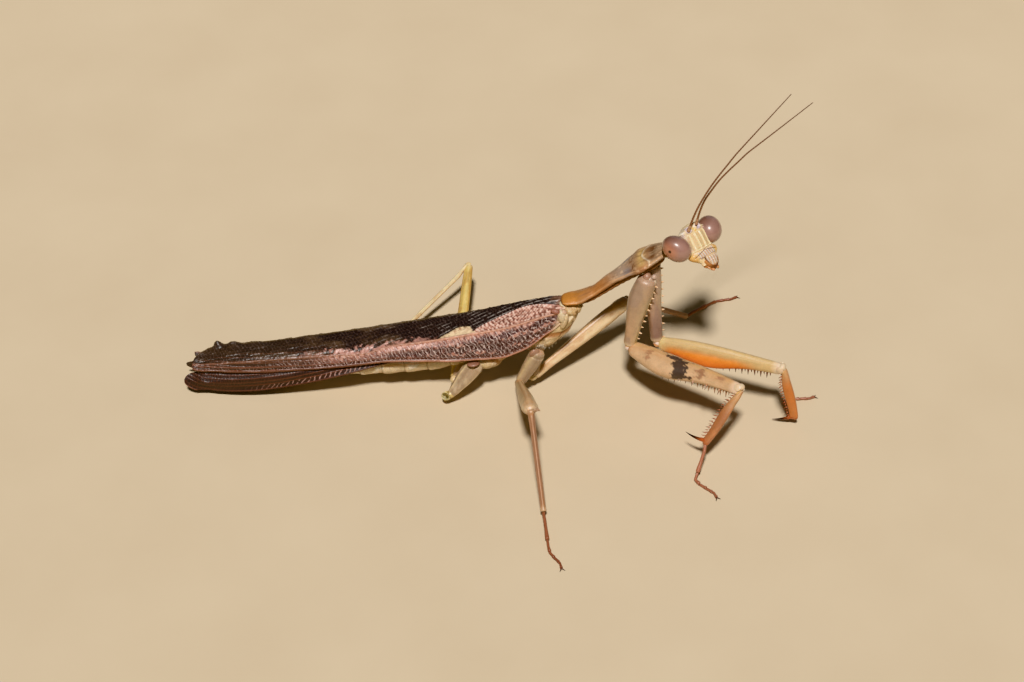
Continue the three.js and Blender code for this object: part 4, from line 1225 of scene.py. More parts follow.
def build_belly():
    """The soft ringed abdomen under the wings, with its two short tail feelers."""
    rows, around = 300, 120
    line = stretched(centre_line("abdomen", 12, (MIDLINE, -40.0, 8.0), 0.03), 0.5, 0.35)
    path, wide, high = measured_tube("abdomen", line, UP, np.linspace(0.04, 0.97, 17), rows)
    t = np.linspace(0, 1, rows)
    share, angle = ring_field(rows, around)
    phase = (share * 9.3) % 1
    lap = ramp(0.0, 0.86, phase) * ramp(1.0, 0.9, phase)
    fold = mottle((share * 40, np.cos(angle) * 2, np.sin(angle) * 2), 2.0, 31)
    flank = bump(np.abs(np.cos(angle)), 1.0, 0.25)
    cap = rounded_ends(t, 0.05, 0.06)
    rings = rings_along(path, UP, wide * cap, high * cap, around,
                        lambda a, s: 0.12 * lap + 0.05 * fold * flank)
    tint = paint(chosen("belly"), (srgb(220, 200, 166), flank * 0.8),
                 (srgb(234, 222, 200), flank * ramp(0.2, 0.7, fold)),
                 (srgb(206, 146, 84), bump(angle, 0.35, 0.1) * 0.5 + bump(angle, math.pi - 0.35, 0.1) * 0.5),
                 (srgb(120, 84, 52), ramp(0.88, 1.0, phase) * 0.55),
                 (srgb(150, 116, 82), ramp(0.3, 0.9, np.sin(angle)) * 0.6))
    tube_piece("belly", rings, tint, "Soft flank", "abdomen", "abdomen")
    for name in ("right", "left"):
        stem = path_points(centre_line(f"cercus_{name}", 6, path[-1], 0.03), 80)
        s = np.linspace(0, 1, 80)
        radius = (0.27 - 0.14 * s) * (1 + 0.12 * np.sin(s * TURN * 9)) * rounded_ends(s, 0.04, 0.08)
        tube_piece(f"tail_feeler_{name}", rings_along(stem, UP, radius, radius, 20),
                   blend(srgb(186, 150, 104), srgb(140, 96, 62), s[:, None] + np.zeros((80, 20))),
                   "Soft flank", "abdomen", f"cercus_{name}")


# ---- wings
def wing_outline(node, y, side, splits):
    """Points across the outer face of a folded wing at y, from its outer edge to its inner edge.

    splits holds how many points lie before and after the fold, or one number where there is none."""
    start, end = cross_section(node, np.array([0.0, y, 0.0]), np.array([0.0, 1.0, 0.0]))
    if len(start) < 6:
        return None
    a = np.stack([(start[:, 0] - MIDLINE) * side, start[:, 2]], axis=1)
    b = np.stack([(end[:, 0] - MIDLINE) * side, end[:, 2]], axis=1)
    centre = np.array([0.15 * a[:, 0].max(), a[:, 1].min() - 0.3])
    a, b = a - centre, b - centre
    bearing = np.arctan2(a[:, 1], a[:, 0])
    top = a[:, 1] > a[:, 1].max() - 0.25
    rays = np.linspace(bearing.min() + 0.003, bearing[top].max() - 0.003, 260)
    way = np.stack([np.cos(rays), np.sin(rays)], axis=1)
    edge = b - a
    across = way[:, None, 0] * edge[:, 1] - way[:, None, 1] * edge[:, 0]
    across = np.where(np.abs(across) < 1e-9, 1e-9, across)
    reach = (a[:, 0] * edge[:, 1] - a[:, 1] * edge[:, 0]) / across
    spot = (a[:, 0] * way[:, None, 1] - a[:, 1] * way[:, None, 0]) / across
    met = (spot > -1e-6) & (spot < 1 + 1e-6) & (reach > 0)
    radius = np.where(met, reach, -1).max(axis=1)
    good = radius > 0
    radius = np.interp(rays, rays[good], radius[good])
    line = centre + radius[:, None] * way
    travelled = distances(line)
    if len(splits) == 1:
        wanted = np.linspace(0, travelled[-1], splits[0])
    else:
        fold = travelled[np.argmax(line[:, 0] * 0.8 + line[:, 1])]
        wanted = np.concatenate([np.linspace(0, fold, splits[0], endpoint=False),
                                 np.linspace(fold, travelled[-1], splits[1])])
    x, z = np.interp(wanted, travelled, line[:, 0]), np.interp(wanted, travelled, line[:, 1])
    return np.stack([MIDLINE + side * x, np.full(len(x), y), z], axis=1)


def wing_grid(name, side, splits, rows, root_pad, tip_round, apex, blunt):
    """An even grid over the outer face of a folded wing, its tip drawn in to a rounded end.

    It starts root_pad past the root's end. The outline that lies blunt short of the tip is carried on to the
    tip, and rounded over the lengths tip_round at its outer and inner edge, to a point at the share apex."""
    triangles = node_triangles(name)
    low, high = triangles[..., 1].min(), triangles[..., 1].max()
    tail = [d for d in (3.0, 1.6, 0.6) if d > blunt] + [blunt]
    stations = np.concatenate([np.linspace(low + root_pad, high - 4.5, 13), high - np.array(tail)])
    found = [(y, wing_outline(triangles, y, side, splits)) for y in stations]
    found = [(y, row) for y, row in found if row is not None]
    knots, lines = np.array([y for y, _ in found]), np.array([row for _, row in found])
    t = np.linspace(0, 1, rows)
    y_fine = knots[0] + (high - 0.012 - knots[0]) * (1 - (1 - t) ** 1.22)
    grid = interpolate(knots, lines, y_fine)
    grid[..., 1] = y_fine[:, None]
    columns = grid.shape[1]
    share = np.linspace(0, 1, columns)
    for row in np.nonzero(y_fine > high - max(tip_round))[0]:
        pull = [np.clip(1 - (high - y_fine[row]) / length, 0, 0.999) for length in tip_round]
        left, right = (1 - np.sqrt(1 - p**2) for p in pull)
        lo, hi = apex * left, 1 - (1 - apex) * right
        if hi - lo < 0.03:
            lo, hi = (lo + hi) / 2 - 0.015, (lo + hi) / 2 + 0.015
        at = lo + (hi - lo) * share
        grid[row] = resampled(grid[row], share, at)
    return grid


def outward_of(grid, side, rise):
    """Directions out of a wing's outer face, which looks to the side and, by rise, up."""
    way = unit(np.cross(np.gradient(grid, axis=0), np.gradient(grid, axis=1)) + 1e-12)
    return way * np.sign((way[..., 2:] * rise + side * way[..., :1]).mean())


def across_of(grid):
    """How far across the wing each point lies from its outer edge."""
    step = np.linalg.norm(np.diff(grid, axis=1), axis=2)
    return np.concatenate([np.zeros((len(grid), 1)), np.cumsum(step, axis=1)], axis=1)


def close_sheet(name, grid, outward, lift, thick, tint, mask, own_map, finish, slot, replaced):
    """Makes a thin closed wing from its outer face: raised by lift, and thick from face to face.

    own_map is each point's place on the wing, in millimetres across and along it."""
    rows, columns = grid.shape[:2]
    face = grid + outward * lift[..., None]
    deep = np.full((rows, columns, 1), 1.0)
    deep[[0, -1]] = deep[:, [0, -1]] = 0.5  # the rim is half as thick
    under = grid - outward * thick * deep
    points = np.vstack([face.reshape(-1, 3), under.reshape(-1, 3)])
    size = rows * columns
    quads = grid_quads(rows, columns, False)
    border = np.concatenate([np.arange(columns), np.arange(1, rows) * columns + columns - 1,
                             (rows - 1) * columns + np.arange(columns - 2, -1, -1),
                             np.arange(rows - 2, 0, -1) * columns])
    following = np.roll(border, -1)
    walls = np.stack([following, border, border + size, following + size], axis=1)
    shell = Shell()
    shell.add(points, np.vstack([quads, quads[:, ::-1] + size, walls]), np.zeros((0, 3), int),
              np.vstack([tint.reshape(-1, 3)] * 2), np.concatenate([mask.ravel()] * 2))
    piece = shell.finish(name, finish, slot, replaced)
    layer = piece.data.uv_layers.new(name="wing")
    corner = np.empty(len(piece.data.loops), dtype=np.int32)
    piece.data.loops.foreach_get("vertex_index", corner)
    flat = np.vstack([np.stack(own_map, axis=-1).reshape(-1, 2)] * 2)
    layer.data.foreach_set("uv", flat[corner].astype(np.float32).ravel())


def dashes(position, spacing, fill, wander):
    """A broken line: 1 on its dashes, 0 between them."""
    phase = (position / spacing + 0.8 * wander) % 1
    return ramp(0.02, 0.12, phase) * ramp(fill + 0.1, fill, phase)


def build_front_wing(name, side, tall_tip):
    """A front wing: pink rope-like rim, netted dark side field, pale main vein, near-black top."""
    splits = (42, 52)
    grid = wing_grid(f"tegmen_{name}", side, splits, 500, root_pad=0.25, tip_round=(5.5, 3.0), apex=0.5,
                     blunt=1.4)
    columns = grid.shape[1]

    def along(knots, values):
        return interpolate(knots, values, y.ravel()).reshape(y.shape)

    y = grid[..., 1] - WING_BASE
    column = np.arange(columns)
    outer = np.clip(1 - column / splits[0], 0, 1) ** 1.3
    top = ramp(splits[0] + 20, columns - 8, column) * tall_tip
    deeper = along([0.5, 1.1, 2.3, 4.7, 7, 11, 17, 22, 28, 38, 44, 60],
                   [0.3, 0.5, 1.25, 1.5, 0.85, 0.4, 0.12, 0.1, 0.5, 0.85, 0.6, 0.3]) * outer
    higher = along([0.5, 1.5, 3, 6, 10, 13, 60], [0.45, 0.5, 0.5, 0.35, 0.12, 0, 0]) * top
    grid = grid + np.stack([side * 0.15 * deeper, -0.8 * ramp(3.2, 1.0, y), higher - deeper], axis=-1)
    outward = outward_of(grid, side, 0.8)
    across = across_of(grid)
    fold = across[:, splits[0]][:, None]
    y = grid[..., 1] - WING_BASE
    a = across / np.maximum(fold, 0.2)
    b = (across - fold) / np.maximum(across[:, -1:] - fold, 0.2)
    cloud = mottle((0.5 * y, across), 2.0, 41)
    fine = mottle((y, across), 0.55, 42)
    speck = mottle((y, across), 0.24, 43, 2)
    scales = mottle((y - 0.5 * across, 0.25 * y + across), 0.17, 44, 2)

    flank = ramp(1.02, 0.98, a)
    rear, tail = ramp(15, 27, y), ramp(28, 38, y)
    fade = ramp(29, 37, y + 2.0 * cloud)
    rim = ramp(0.3, 0.2, across)
    groove = bump(across, 0.34, 0.07)
    second = bump(across, 0.5 + 0.25 * rear, 0.06)
    main = bump(across - fold, -0.05, 0.13) * (1 - 0.6 * rear)
    band = ramp(0.84 - 0.24 * ramp(8, 16, y) - 0.35 * ramp(17, 24, y), 0.98, a + 0.07 * cloud
                       + 0.06 * speck) * flank
    lens = along([0, 2, 5, 8, 11, 12.6, 60], [0.3, 0.52, 0.66, 0.5, 0.2, 0.0, -0.3])
    in_lens = ramp(0.03, -0.03, b - lens + 0.015 * speck) * ramp(0.0, 0.03, b)
    lens_vein = bump((b - lens) * 4.4, 0.0, 0.09) * ramp(12.8, 11.0, y) * ramp(0.0, 0.02, b)
    beads = lens_vein * ramp(0.1, 0.5, np.sin(TURN * y / 0.42)) * ramp(2, 3, y)
    slide = along([0, 6, 9, 17, 22, 46], [0, 0.2, 0.42, 1.3, 1.62, 2.5])
    lane = (b + slide + 0.016 * fine) / 0.15
    own = np.sin(12.9 * np.round(lane))
    ridges = bump((lane - np.round(lane)) * 0.6, 0.0, 0.05) * ramp(0.03, 0.1, b) * (1 - in_lens) * (1 - flank)
    # lines are white dashes along the vein ridges: painted highlights
    lines = ridges * dashes(y + 1.9 * own, 1.7, 0.7, 0.6 * fine) * ramp(-0.6, 0.2, cloud + 0.5 * own)
    cross = ramp(0.75, 0.98, np.sin(TURN * (y + 0.4 * across) / 0.5 + 1.8 * cloud))
    cross = cross * (1 - flank) * (1 - in_lens)
    stigma_top = along([0, 11.8, 12.3, 13.4, 14.6, 15.8, 16.8, 60],
                       [-1, 0.08, 0.28, 0.32, 0.2, 0.07, -0.1, -1])
    stigma = ramp(0.03, -0.03, b - stigma_top + 0.03 * speck) * ramp(0.0, 0.04, b)
    tail_lines = ramp(0.82, 0.98, np.sin(TURN * (across - 0.02 * y) / 0.62 + 0.7 * cloud))
    tail_lines = tail_lines * ramp(24, 33, y) * ramp(0.45, 0.2, b)
    blush = ramp(0.0, 0.6, fine + 0.5 * cloud + 0.1)

    tint = paint(
        chosen("wing_top"),
        (srgb(74, 58, 46), ramp(-0.3, 0.6, cloud) * (0.1 + 0.6 * rear)),
        (srgb(104, 84, 66), ramp(0.25, 0.8, cloud + 0.4 * fine) * rear * 0.5),
        (srgb(58, 47, 38), tail * 0.6),
        (srgb(112, 94, 68), ramp(0.9, 0.97, b + 0.02 * cloud) * 0.8 * ramp(8, 16, y)),
        (chosen("wing_side"), flank * 0.9),
        (srgb(104, 70, 68), flank * blush * 0.55),
        (srgb(196, 142, 126), flank * ramp(0.5, 0.75, fine + 0.2 * cloud) * (1 - rear) * 0.75),
        (chosen("wing_bloom"), band * (1 - 0.9 * fade) * 0.85),
        (srgb(210, 164, 148), band * ramp(0.0, 0.5, speck) * (1 - fade) * 0.8),
        (srgb(84, 56, 48), band * ramp(-0.1, -0.6, speck) * 0.7),
        (srgb(58, 43, 37), flank * fade * 0.95),
        (srgb(136, 92, 76), bump((across / 0.56) % 1, 0.5, 0.07) * flank * fade * 0.7),
        (srgb(198, 146, 132), ramp(0.0, 0.6, 0.7 * fine + 0.5 * speck - 4.0 * np.abs(b - 0.03) + 0.55)
         * (1 - flank) * ramp(15, 20, y) * (1 - fade) * 0.85),
        (srgb(196, 146, 128), in_lens * 0.95),
        (srgb(232, 204, 188), in_lens * ramp(0.1, 0.5, scales + 0.3 * fine) * 0.9),
        (srgb(104, 64, 56), in_lens * ramp(-0.1, -0.5, scales + 0.4 * fine) * 0.85),
        (srgb(84, 62, 54), ridges * 0.4),
        # near-white dashes on the vein ridges: painted highlights
        (srgb(206, 196, 188), lines * ramp(30, 14, y) * (0.62 + 0.3 * speck)),
        (srgb(98, 76, 60), cross * (0.08 + 0.2 * rear)),
        (srgb(176, 124, 110), lens_vein * 0.9),
        (srgb(240, 222, 212), beads * 0.9),
        (srgb(196, 146, 122), main * 0.95),
        (srgb(104, 72, 60), main * rear * 0.85),
        (chosen("wing_patch"), stigma * 0.97),
        (srgb(150, 104, 78), stigma * ramp(-0.1, 0.4, speck) * ramp(-0.2, -0.03, b - stigma_top) * 0.85),
        (srgb(178, 130, 110), rim),
        (srgb(92, 62, 52), rim * ramp(16, 30, y) * 0.9),
        (srgb(84, 46, 40), groove * 0.85),
        (srgb(146, 98, 82), second * (0.45 + 0.2 * rear)),
        (srgb(128, 84, 68), tail_lines * 0.45),
        (srgb(156, 118, 98), ramp(2.6, 0.8, y + 0.4 * fine) * ramp(0.35, 0.6, b) * (1 - flank) * 0.6),
        (srgb(216, 188, 156), ramp(1.1, 0.3, y + 1.2 * (b - 0.2)) * 0.85),
    )
    rope = 0.5 + 0.5 * np.sin(TURN * (y + 1.2 * across) / 0.34)
    tip = ramp(0.1, 1.6, grid[..., 1].max() - grid[..., 1])
    lift = (0.12 * rim * tip * (1 - 0.55 * rear) + 0.03 * rim * rope - 0.05 * groove + 0.05 * second
            + 0.1 * main + 0.07 * lens_vein
            + 0.04 * beads + 0.06 * ridges + 0.03 * lines + 0.03 * cross + 0.05 * tail_lines
            + 0.05 * stigma + 0.03 * fine + 0.04 * cloud + 0.05 * in_lens * scales + 0.04 * band * speck)
    lift = lift - 0.04 * bump(across - fold, 0.45, 0.3) * (1 - tail) * (1 - in_lens)
    if tall_tip:
        lift = lift + 1.0 * bump(y, 44.2, 0.55) * ramp(0.72, 0.97, b)
        lift = lift + 0.4 * bump(y, 42.4, 0.8) * ramp(0.78, 0.97, b)
    lift = lift + 0.16 * tail * cloud * ramp(0.15, 0.4, b)
    mask = 0.14 - 0.03 * rear + flank * (0.8 - 0.3 * band - 0.6 * fade) - 0.2 * ramp(3, 1, y)
    mask = np.clip(mask - rim - main - stigma - 0.5 * in_lens - second, 0, 1)
    close_sheet(f"front_wing_{name}", grid, outward, lift, length_of("front_wing"), tint, mask, (across, y),
                "Front wing", "tegmina", f"tegmen_{name}")


def build_hind_wing(name, side):
    """A hind wing below the front one: red-brown veins along it and a row of pale cross veins."""
    grid = wing_grid(f"hindwing_{name}", side, (64,), 520, root_pad=0.3, tip_round=(4.2, 3.2), apex=0.52,
                     blunt=3.0)
    columns = grid.shape[1]
    fuller = ramp(26, 36, grid[..., 1] - WING_BASE) * ramp(0.15, 0.6, np.arange(columns) / columns)
    fuller *= ramp(0.3, 3.0, grid[..., 1].max() - grid[..., 1])
    grid = grid + fuller[..., None] * np.array([side * 0.75, 0.0, 0.12])
    outward = outward_of(grid, side, 0.3)
    across = across_of(grid)
    y = grid[..., 1] - WING_BASE
    cloud = mottle((0.5 * y, across), 1.8, 51)
    speck = mottle((y, across), 0.26, 52, 2)
    tail = ramp(39, 46, y)
    veins = np.zeros_like(y)
    spread = interpolate([0, 30, 38, 44, 50], [0.55, 0.85, 1.0, 1.0, 0.75], y.ravel()).reshape(y.shape)
    for k, lane in enumerate((0.06, 0.62, 1.42, 2.0, 2.55, 3.05)):
        veins += bump(across, lane * spread, 0.055 if k else 0.1) * (1.0 if k in (0, 2) else 0.75)
    rungs = ramp(0.6, 0.95, np.sin(TURN * (y + 0.5 * across + 0.3 * cloud) / 0.66))
    low_lane, high_lane = 0.70, 1.36  # the rungs lie between these veins
    rungs *= ramp(low_lane * 0.8, low_lane, across) * ramp(high_lane, high_lane * 0.9, across)
    thin = ramp(0.6, 0.95, np.sin(TURN * (y + 0.2 * across) / 0.42 + 2 * cloud)) * ramp(1.5, 1.6, across)
    edge_thin = ramp(0.6, 0.95, np.sin(TURN * (y + 0.3 * across) / 0.5)) * ramp(0.6, 0.5, across)
    tint = paint(
        chosen("hind_wing"), (srgb(62, 42, 37), ramp(-0.3, 0.5, cloud) * 0.7),
        (srgb(56, 40, 35), tail * 0.6), (srgb(40, 28, 25), ramp(0.0, 0.6, speck) * tail * 0.7),
        (srgb(92, 60, 50), thin * 0.25), (srgb(120, 78, 64), edge_thin * 0.25),
        (srgb(196, 156, 146), rungs * ramp(42, 34, y) * ramp(-0.5, 0.2, speck + 0.4) * 0.75),
        (srgb(128, 78, 60), np.clip(veins, 0, 1) * (0.8 - 0.3 * tail)),
        (srgb(136, 92, 72), ramp(0.16, 0.05, across) * 0.8),
    )
    lift = 0.05 * veins + 0.03 * rungs + 0.015 * thin + 0.03 * cloud + 0.03 * tail * cloud
    mask = np.clip(0.35 + 0.4 * tail - veins - rungs, 0, 1)
    close_sheet(f"hind_wing_{name}", grid, outward, lift, length_of("hind_wing"), tint, mask, (across, y),
                "Hind wing", "hindwings", f"hindwing_{name}")


# ---- legs
def leg_places(leg, parts=("coxa", "femur", "tibia")):
    """Where a leg's joints lie: root, then the far end of each of its straight parts."""
    near = node_centre(f"{leg}_coxa") + UP * 10
    lines = []
    for part in parts:
        line = straight_line(f"{leg}_{part}", near)
        lines.append(line)
        near = box_end(f"{leg}_{part}", line, True)
    joints = [box_end(f"{leg}_{parts[0]}", lines[0], False)]
    joints += [meeting(a, b) for a, b in zip(lines[:-1], lines[1:])]
    return joints + [near]


def measured_limb(shell, node, start, end, rise, rows, around, colour, swell=None, caps=(0.05, 0.05),
                  shares=(0.08, 0.92), widen=1.0, even=False):
    """One straight part of a leg, from joint to joint, with its node's own thickness.

    colour and swell take the share along it and the angle round it, whose quarter turn is rise.
    An even part's thickness and line are smooth curves through the measured ones, without its teeth."""
    path, wide, high = measured_tube(node, np.array([start, end]), rise, np.linspace(*shares, 13), rows)
    if even:
        s = np.linspace(0, 1, rows)
        measured = np.column_stack([path, wide, high])
        smooth = np.stack([np.polyval(np.polyfit(s, column, 3), s) for column in measured.T], axis=1)
        path, wide, high = smooth[:, :3], smooth[:, 3], smooth[:, 4]
    cap = rounded_ends(np.linspace(0, 1, rows), *caps)
    share, angle = ring_field(rows, around)
    rings = rings_along(path, rise, wide * cap * widen, high * cap * widen, around, swell)
    add_tube(shell, rings, colour(share, angle))
    return path, wide, high


def add_ball(shell, centre, radii, axis, tint, rows=18, around=22):
    """An egg-shaped knob, longest or shortest along axis: radii are along it and across it."""
    s = np.linspace(0, 1, rows)
    axis = unit(axis)
    path = np.asarray(centre) + (-np.cos(s * math.pi))[:, None] * axis * radii[0]
    radius = np.maximum(np.sin(s * math.pi), 0.03) * radii[1]
    up = np.cross(axis, UP if abs(axis[2]) < 0.9 else np.array([1.0, 0, 0]))
    add_tube(shell, rings_along(path, up, radius, radius, around), tint)


def build_foot(leg, start, colours, girth=1.0):
    """A foot: a long heel joint, four short ones with a pad under each, and two claws."""
    line = centre_line(f"{leg}_tarsus", 10, start, 0.02)
    line = np.vstack([start + (line[0] - start) * 0.3, line])
    lengths = distances(line)
    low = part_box(f"{leg}_tarsus")[0].z / MM
    heel = 5  # the point of the line where the long heel joint ends
    heel_share = lengths[heel] / lengths[-1]
    stops = [0.0, heel_share] + list(heel_share + (1 - heel_share) * np.array([0.36, 0.58, 0.76, 0.97]))
    shell = Shell()

    def at(share):
        return resampled(line, lengths, np.atleast_1d(share) * lengths[-1])

    for k, (a, b, thick) in enumerate(zip(stops[:-1], stops[1:], (0.24, 0.2, 0.19, 0.18, 0.17))):
        rows, around = (90, 26) if k == 0 else (30, 24)
        s = np.linspace(0, 1, rows)
        path = at(a + (b - a) * s)
        radius = girth * thick * (0.86 + 0.3 * ramp(0.55, 0.95, s))
        radius = radius * rounded_ends(s, 0.16 if k else 0.04, 0.12 if k else 0.04)
        path[:, 2] = np.maximum(path[:, 2], low + radius + 0.02)
        shade = np.broadcast_to((0.25 * k + 0.2 * ramp(0.8, 1, s))[:, None], (rows, around))
        add_tube(shell, rings_along(path, UP, radius, radius, around),
                 blend(colours[0], colours[1], np.clip(shade, 0, 1)))
        tip = path[-2]
        for sign in (-1, 1):
            way = path[-1] - path[0]
            aside = unit(np.cross(way, UP)) * sign * 0.12
            pad_tip = tip + unit(way) * 0.22 + aside - UP * 0.1
            pad_tip[2] = max(pad_tip[2], low + 0.06)
            add_cone(shell, tip + aside * 0.6 - UP * 0.04, pad_tip, 0.09, colours[1])
    tip, before = at(stops[-1])[0], at(stops[-2])[0]
    way = unit(tip - before)
    tip[2] = max(tip[2], low + 0.16)
    for sign in (-1, 1):
        aside = unit(np.cross(way, UP)) * sign
        point = tip + way * 0.42 + aside * 0.3
        point[2] = low + 0.04
        add_cone(shell, tip, point, 0.075, srgb(92, 54, 40), srgb(40, 22, 18), bend=aside * 0.06)
    shell.finish(f"{leg}_foot", "Foot shell", "feet", f"{leg}_tarsus")


def fore_plane(joints):
    """Directions square to a grasping leg's femur and tibia: the back of each, in their plane."""
    _, elbow, knee, end = joints
    femur, tibia = unit(knee - elbow), unit(end - knee)
    return -unit(tibia - (tibia @ femur) * femur), unit(femur - (femur @ tibia) * tibia)


def build_fore_coxa(leg, side, root, elbow):
    """A grasping leg's first joint, with soft folds at its root and a row of pale beads in front."""
    right = side < 0
    axis_c = unit(elbow - root)
    forward = np.array([-0.35 if right else 0.2, -1.0, 0.0])
    front_c = unit(forward - (forward @ axis_c) * axis_c)

    def coxa_tint(share, angle):
        cloud = mottle((share * 5, np.cos(angle), np.sin(angle)), 1.6, 61 + side)
        return paint(chosen("fore_coxae"), (srgb(206, 168, 132), ramp(0.35, 0.8, share) * 0.8),
                     (srgb(206, 198, 150), bump(angle, math.pi / 2, 0.9) * ramp(0.1, 0.5, share) * 0.8),
                     (srgb(158, 134, 118), ramp(0.0, 0.6, cloud) * 0.6),
                     (srgb(136, 108, 98), (0.8 if not right else 0.1) * ramp(0.2, 0.8, share)),
                     (srgb(222, 196, 160), ramp(0.9, 0.98, share)),
                     (srgb(176, 146, 124), ramp(0.12, 0.03, share) * 0.8))

    coxa = Shell()
    fuller = 0.42 if right else 0.15
    path_c, _, high_c = measured_limb(
        coxa, f"{leg}_coxa", root + axis_c * 0.2, elbow - axis_c * 0.15, front_c, 160, 70, coxa_tint,
        lambda a, s: (0.1 * bump(np.abs(np.cos(a)), 0.75, 0.2) * np.sin(s * 3.0)
                      + 0.05 * np.sin(s * 9 + np.cos(a))
                      + fuller * bump(s, 0.4, 0.35) * (1.1 - 0.9 * np.sin(a))), widen=1.08)
    for down, ahead, radii, axis, shade in (
            (0.2, -0.25, (0.5, 0.58), front_c, (166, 130, 110)),
            (0.4, 0.3, (0.3, 0.52), front_c - axis_c, (186, 158, 136)),
            (0.7, 0.85, (0.42, 0.26), axis_c, (190, 168, 142)),
            (-0.15, 0.6, (0.3, 0.34), front_c, (192, 166, 148)),
            (0.55, -0.8, (0.26, 0.4), front_c, (150, 112, 94))):
        add_ball(coxa, root + axis_c * down + front_c * ahead, radii, axis, srgb(*shade))
    add_ball(coxa, elbow - axis_c * 0.05, (0.62, 0.5), np.cross(axis_c, front_c), srgb(226, 204, 190))
    coxa.finish(f"{leg}_coxa_shell", "Leg shell", "coxae", f"{leg}_coxa")
    edge = (path_c + front_c * (high_c * 1.1 + 0.05)[:, None])[14:152]
    spine_row(f"{leg}_coxa_beads", edge, how_many("coxa_beads"), length_of("coxa_bead"), 0.15, front_c,
              srgb(216, 170, 126), srgb(236, 208, 176), short=0.8, every=2, stray=0.2, seed=3 + side,
              tip_radius=0.04)


def build_fore_femur(leg, side, elbow, knee, back_femur):
    """A grasping leg's deep femur: blotched outside, orange inside, with three rows of spines."""
    right = side < 0
    axis_f = unit(knee - elbow)
    side_f, _ = square_to(axis_f, back_femur)
    outer_sign = np.sign(side_f @ np.array([side, 0, 0.4]))

    def femur_tint(share, angle):
        outer = np.cos(angle) * outer_sign
        dorsal = np.sin(angle)
        spot = (share * 16, dorsal * 2.6, outer)
        cloud = mottle(spot, 1.1, 71)
        ragged = 0.35 * cloud + 0.25 * mottle(spot, 0.4, 72)
        face = ramp(0.0, 0.35, outer)
        inside = ramp(0.0, -0.35, outer)
        if right:
            tall = np.clip(1 - np.abs(dorsal + 0.02) / 0.92, 0, 1) ** 0.5
            blot = ramp(0.1, 0.3, tall * (1 - np.abs(share - 0.475 + 0.04 * dorsal) / 0.1) + ragged * 0.8)
            near = ramp(0.25, 0.6, tall * (1 - np.abs(share - 0.2) / 0.08) + ragged * 0.9 - 0.25)
            far = ramp(0.2, 0.6, tall * (1 - np.abs(share - 0.66) / 0.12) + ragged * 0.9 - 0.3)
            last = ramp(0.2, 0.6, 1 - np.abs(share - 0.84) / 0.09 + ragged - 0.45) * bump(dorsal, 0.45, 0.3)
            return paint(chosen("fore_femur_right"), (srgb(208, 174, 138), ramp(0.2, -0.4, dorsal) * 0.7),
                         (srgb(204, 160, 106), bump(dorsal, 0.75, 0.3) * 0.6),
                         (srgb(198, 152, 112), ramp(0.1, 0.7, cloud) * 0.5),
                         (srgb(226, 140, 70), inside * 0.8),
                         (srgb(150, 104, 78), near * face * 0.65), (srgb(136, 94, 72), far * face * 0.7),
                         (srgb(150, 106, 82), last * face * 0.7), (chosen("femur_blot"), blot * face * 0.94),
                         (srgb(226, 198, 172), ramp(0.9, 0.97, share) * 0.85),
                         (srgb(196, 140, 100), ramp(0.06, 0.0, share) * 0.7))
        edge = ramp(0.62, -0.2, dorsal + 0.08 * cloud)
        length = ramp(0.02, 0.16, share) * ramp(0.86, 0.6, share)
        deep = ramp(0.0, -0.6, dorsal) * inside * length
        return paint(chosen("fore_femur_left"),
                     (srgb(190, 160, 114), bump(np.abs(dorsal - 0.75), 0.12, 0.06) * 0.5),
                     (chosen("femur_flash"), edge * inside * length), (srgb(212, 112, 50), deep * 0.9),
                     (srgb(224, 190, 148), face * 0.4), (srgb(230, 206, 180), ramp(0.9, 0.97, share) * 0.8),
                     (srgb(226, 206, 150), ramp(0.1, 0.0, share) * 0.8))

    femur = Shell()
    deep, deepest, hollow = (0.85, 0.34, 0.35) if right else (0.75, 0.42, 0)

    def femur_swell(a, s):
        back = np.sin(a)
        return (0.05 * bump(back, 0.55, 0.14) * ramp(0.05, 0.2, s) * ramp(0.95, 0.8, s)
                - 0.1 * bump(back, -1.0, 0.18) * ramp(0.1, 0.3, s)
                + deep * bump(s, deepest, 0.22) * ramp(0.2, -0.8, back)
                - hollow * bump(s, 0.38, 0.25) * ramp(0.2, 0.9, back)
                + 0.04 * bump(back, 0.8, 0.06) * ramp(0.1, 0.3, s))

    path_f, wide_f, high_f = measured_limb(
        femur, f"{leg}_femur", elbow + axis_f * 0.1, knee + axis_f * 0.1, back_femur, 260, 110, femur_tint,
        femur_swell, caps=(0.05, 0.035), even=True)
    add_ball(femur, elbow + axis_f * 0.05, (0.62, 0.5), side_f, srgb(206, 160, 120))
    for sign in (-1, 1):
        add_ball(femur, knee - axis_f * 0.18 + side_f * sign * 0.55, (0.16, 0.48), side_f,
                 srgb(222, 194, 162))
    femur.finish(f"{leg}_femur_shell", "Leg shell", "fore_femora", f"{leg}_femur")
    keel = path_f - back_femur * (high_f * 0.86)[:, None]
    for label, sign, count, every, keep in (
            ("outer", outer_sign, 5, 1, slice(100, 220)),
            ("inner", -outer_sign, how_many("femur_spines"), 2, slice(112, 236))):
        edge = (keel + side_f * sign * (wide_f * 0.55)[:, None])[keep]
        pale = srgb(196, 146, 112) if right else srgb(110, 66, 46)
        dark = srgb(60, 26, 22) if label == "outer" or not right else srgb(70, 40, 30)
        spine_row(f"{leg}_femur_spines_{label}", edge, count, length_of("femur_spine"), 0.13,
                  -back_femur + 0.28 * sign * side_f + 0.12 * axis_f, pale, dark,
                  short=0.5, every=every, stray=0.12, seed=11 + side)
    middle = (keel + side_f * outer_sign * 0.1)[92:118]
    spine_row(f"{leg}_femur_spines_middle", middle, 3, 1.1, 0.13, -back_femur + 0.1 * axis_f,
              srgb(190, 120, 86), srgb(40, 22, 20), short=1.0, every=1, seed=5)


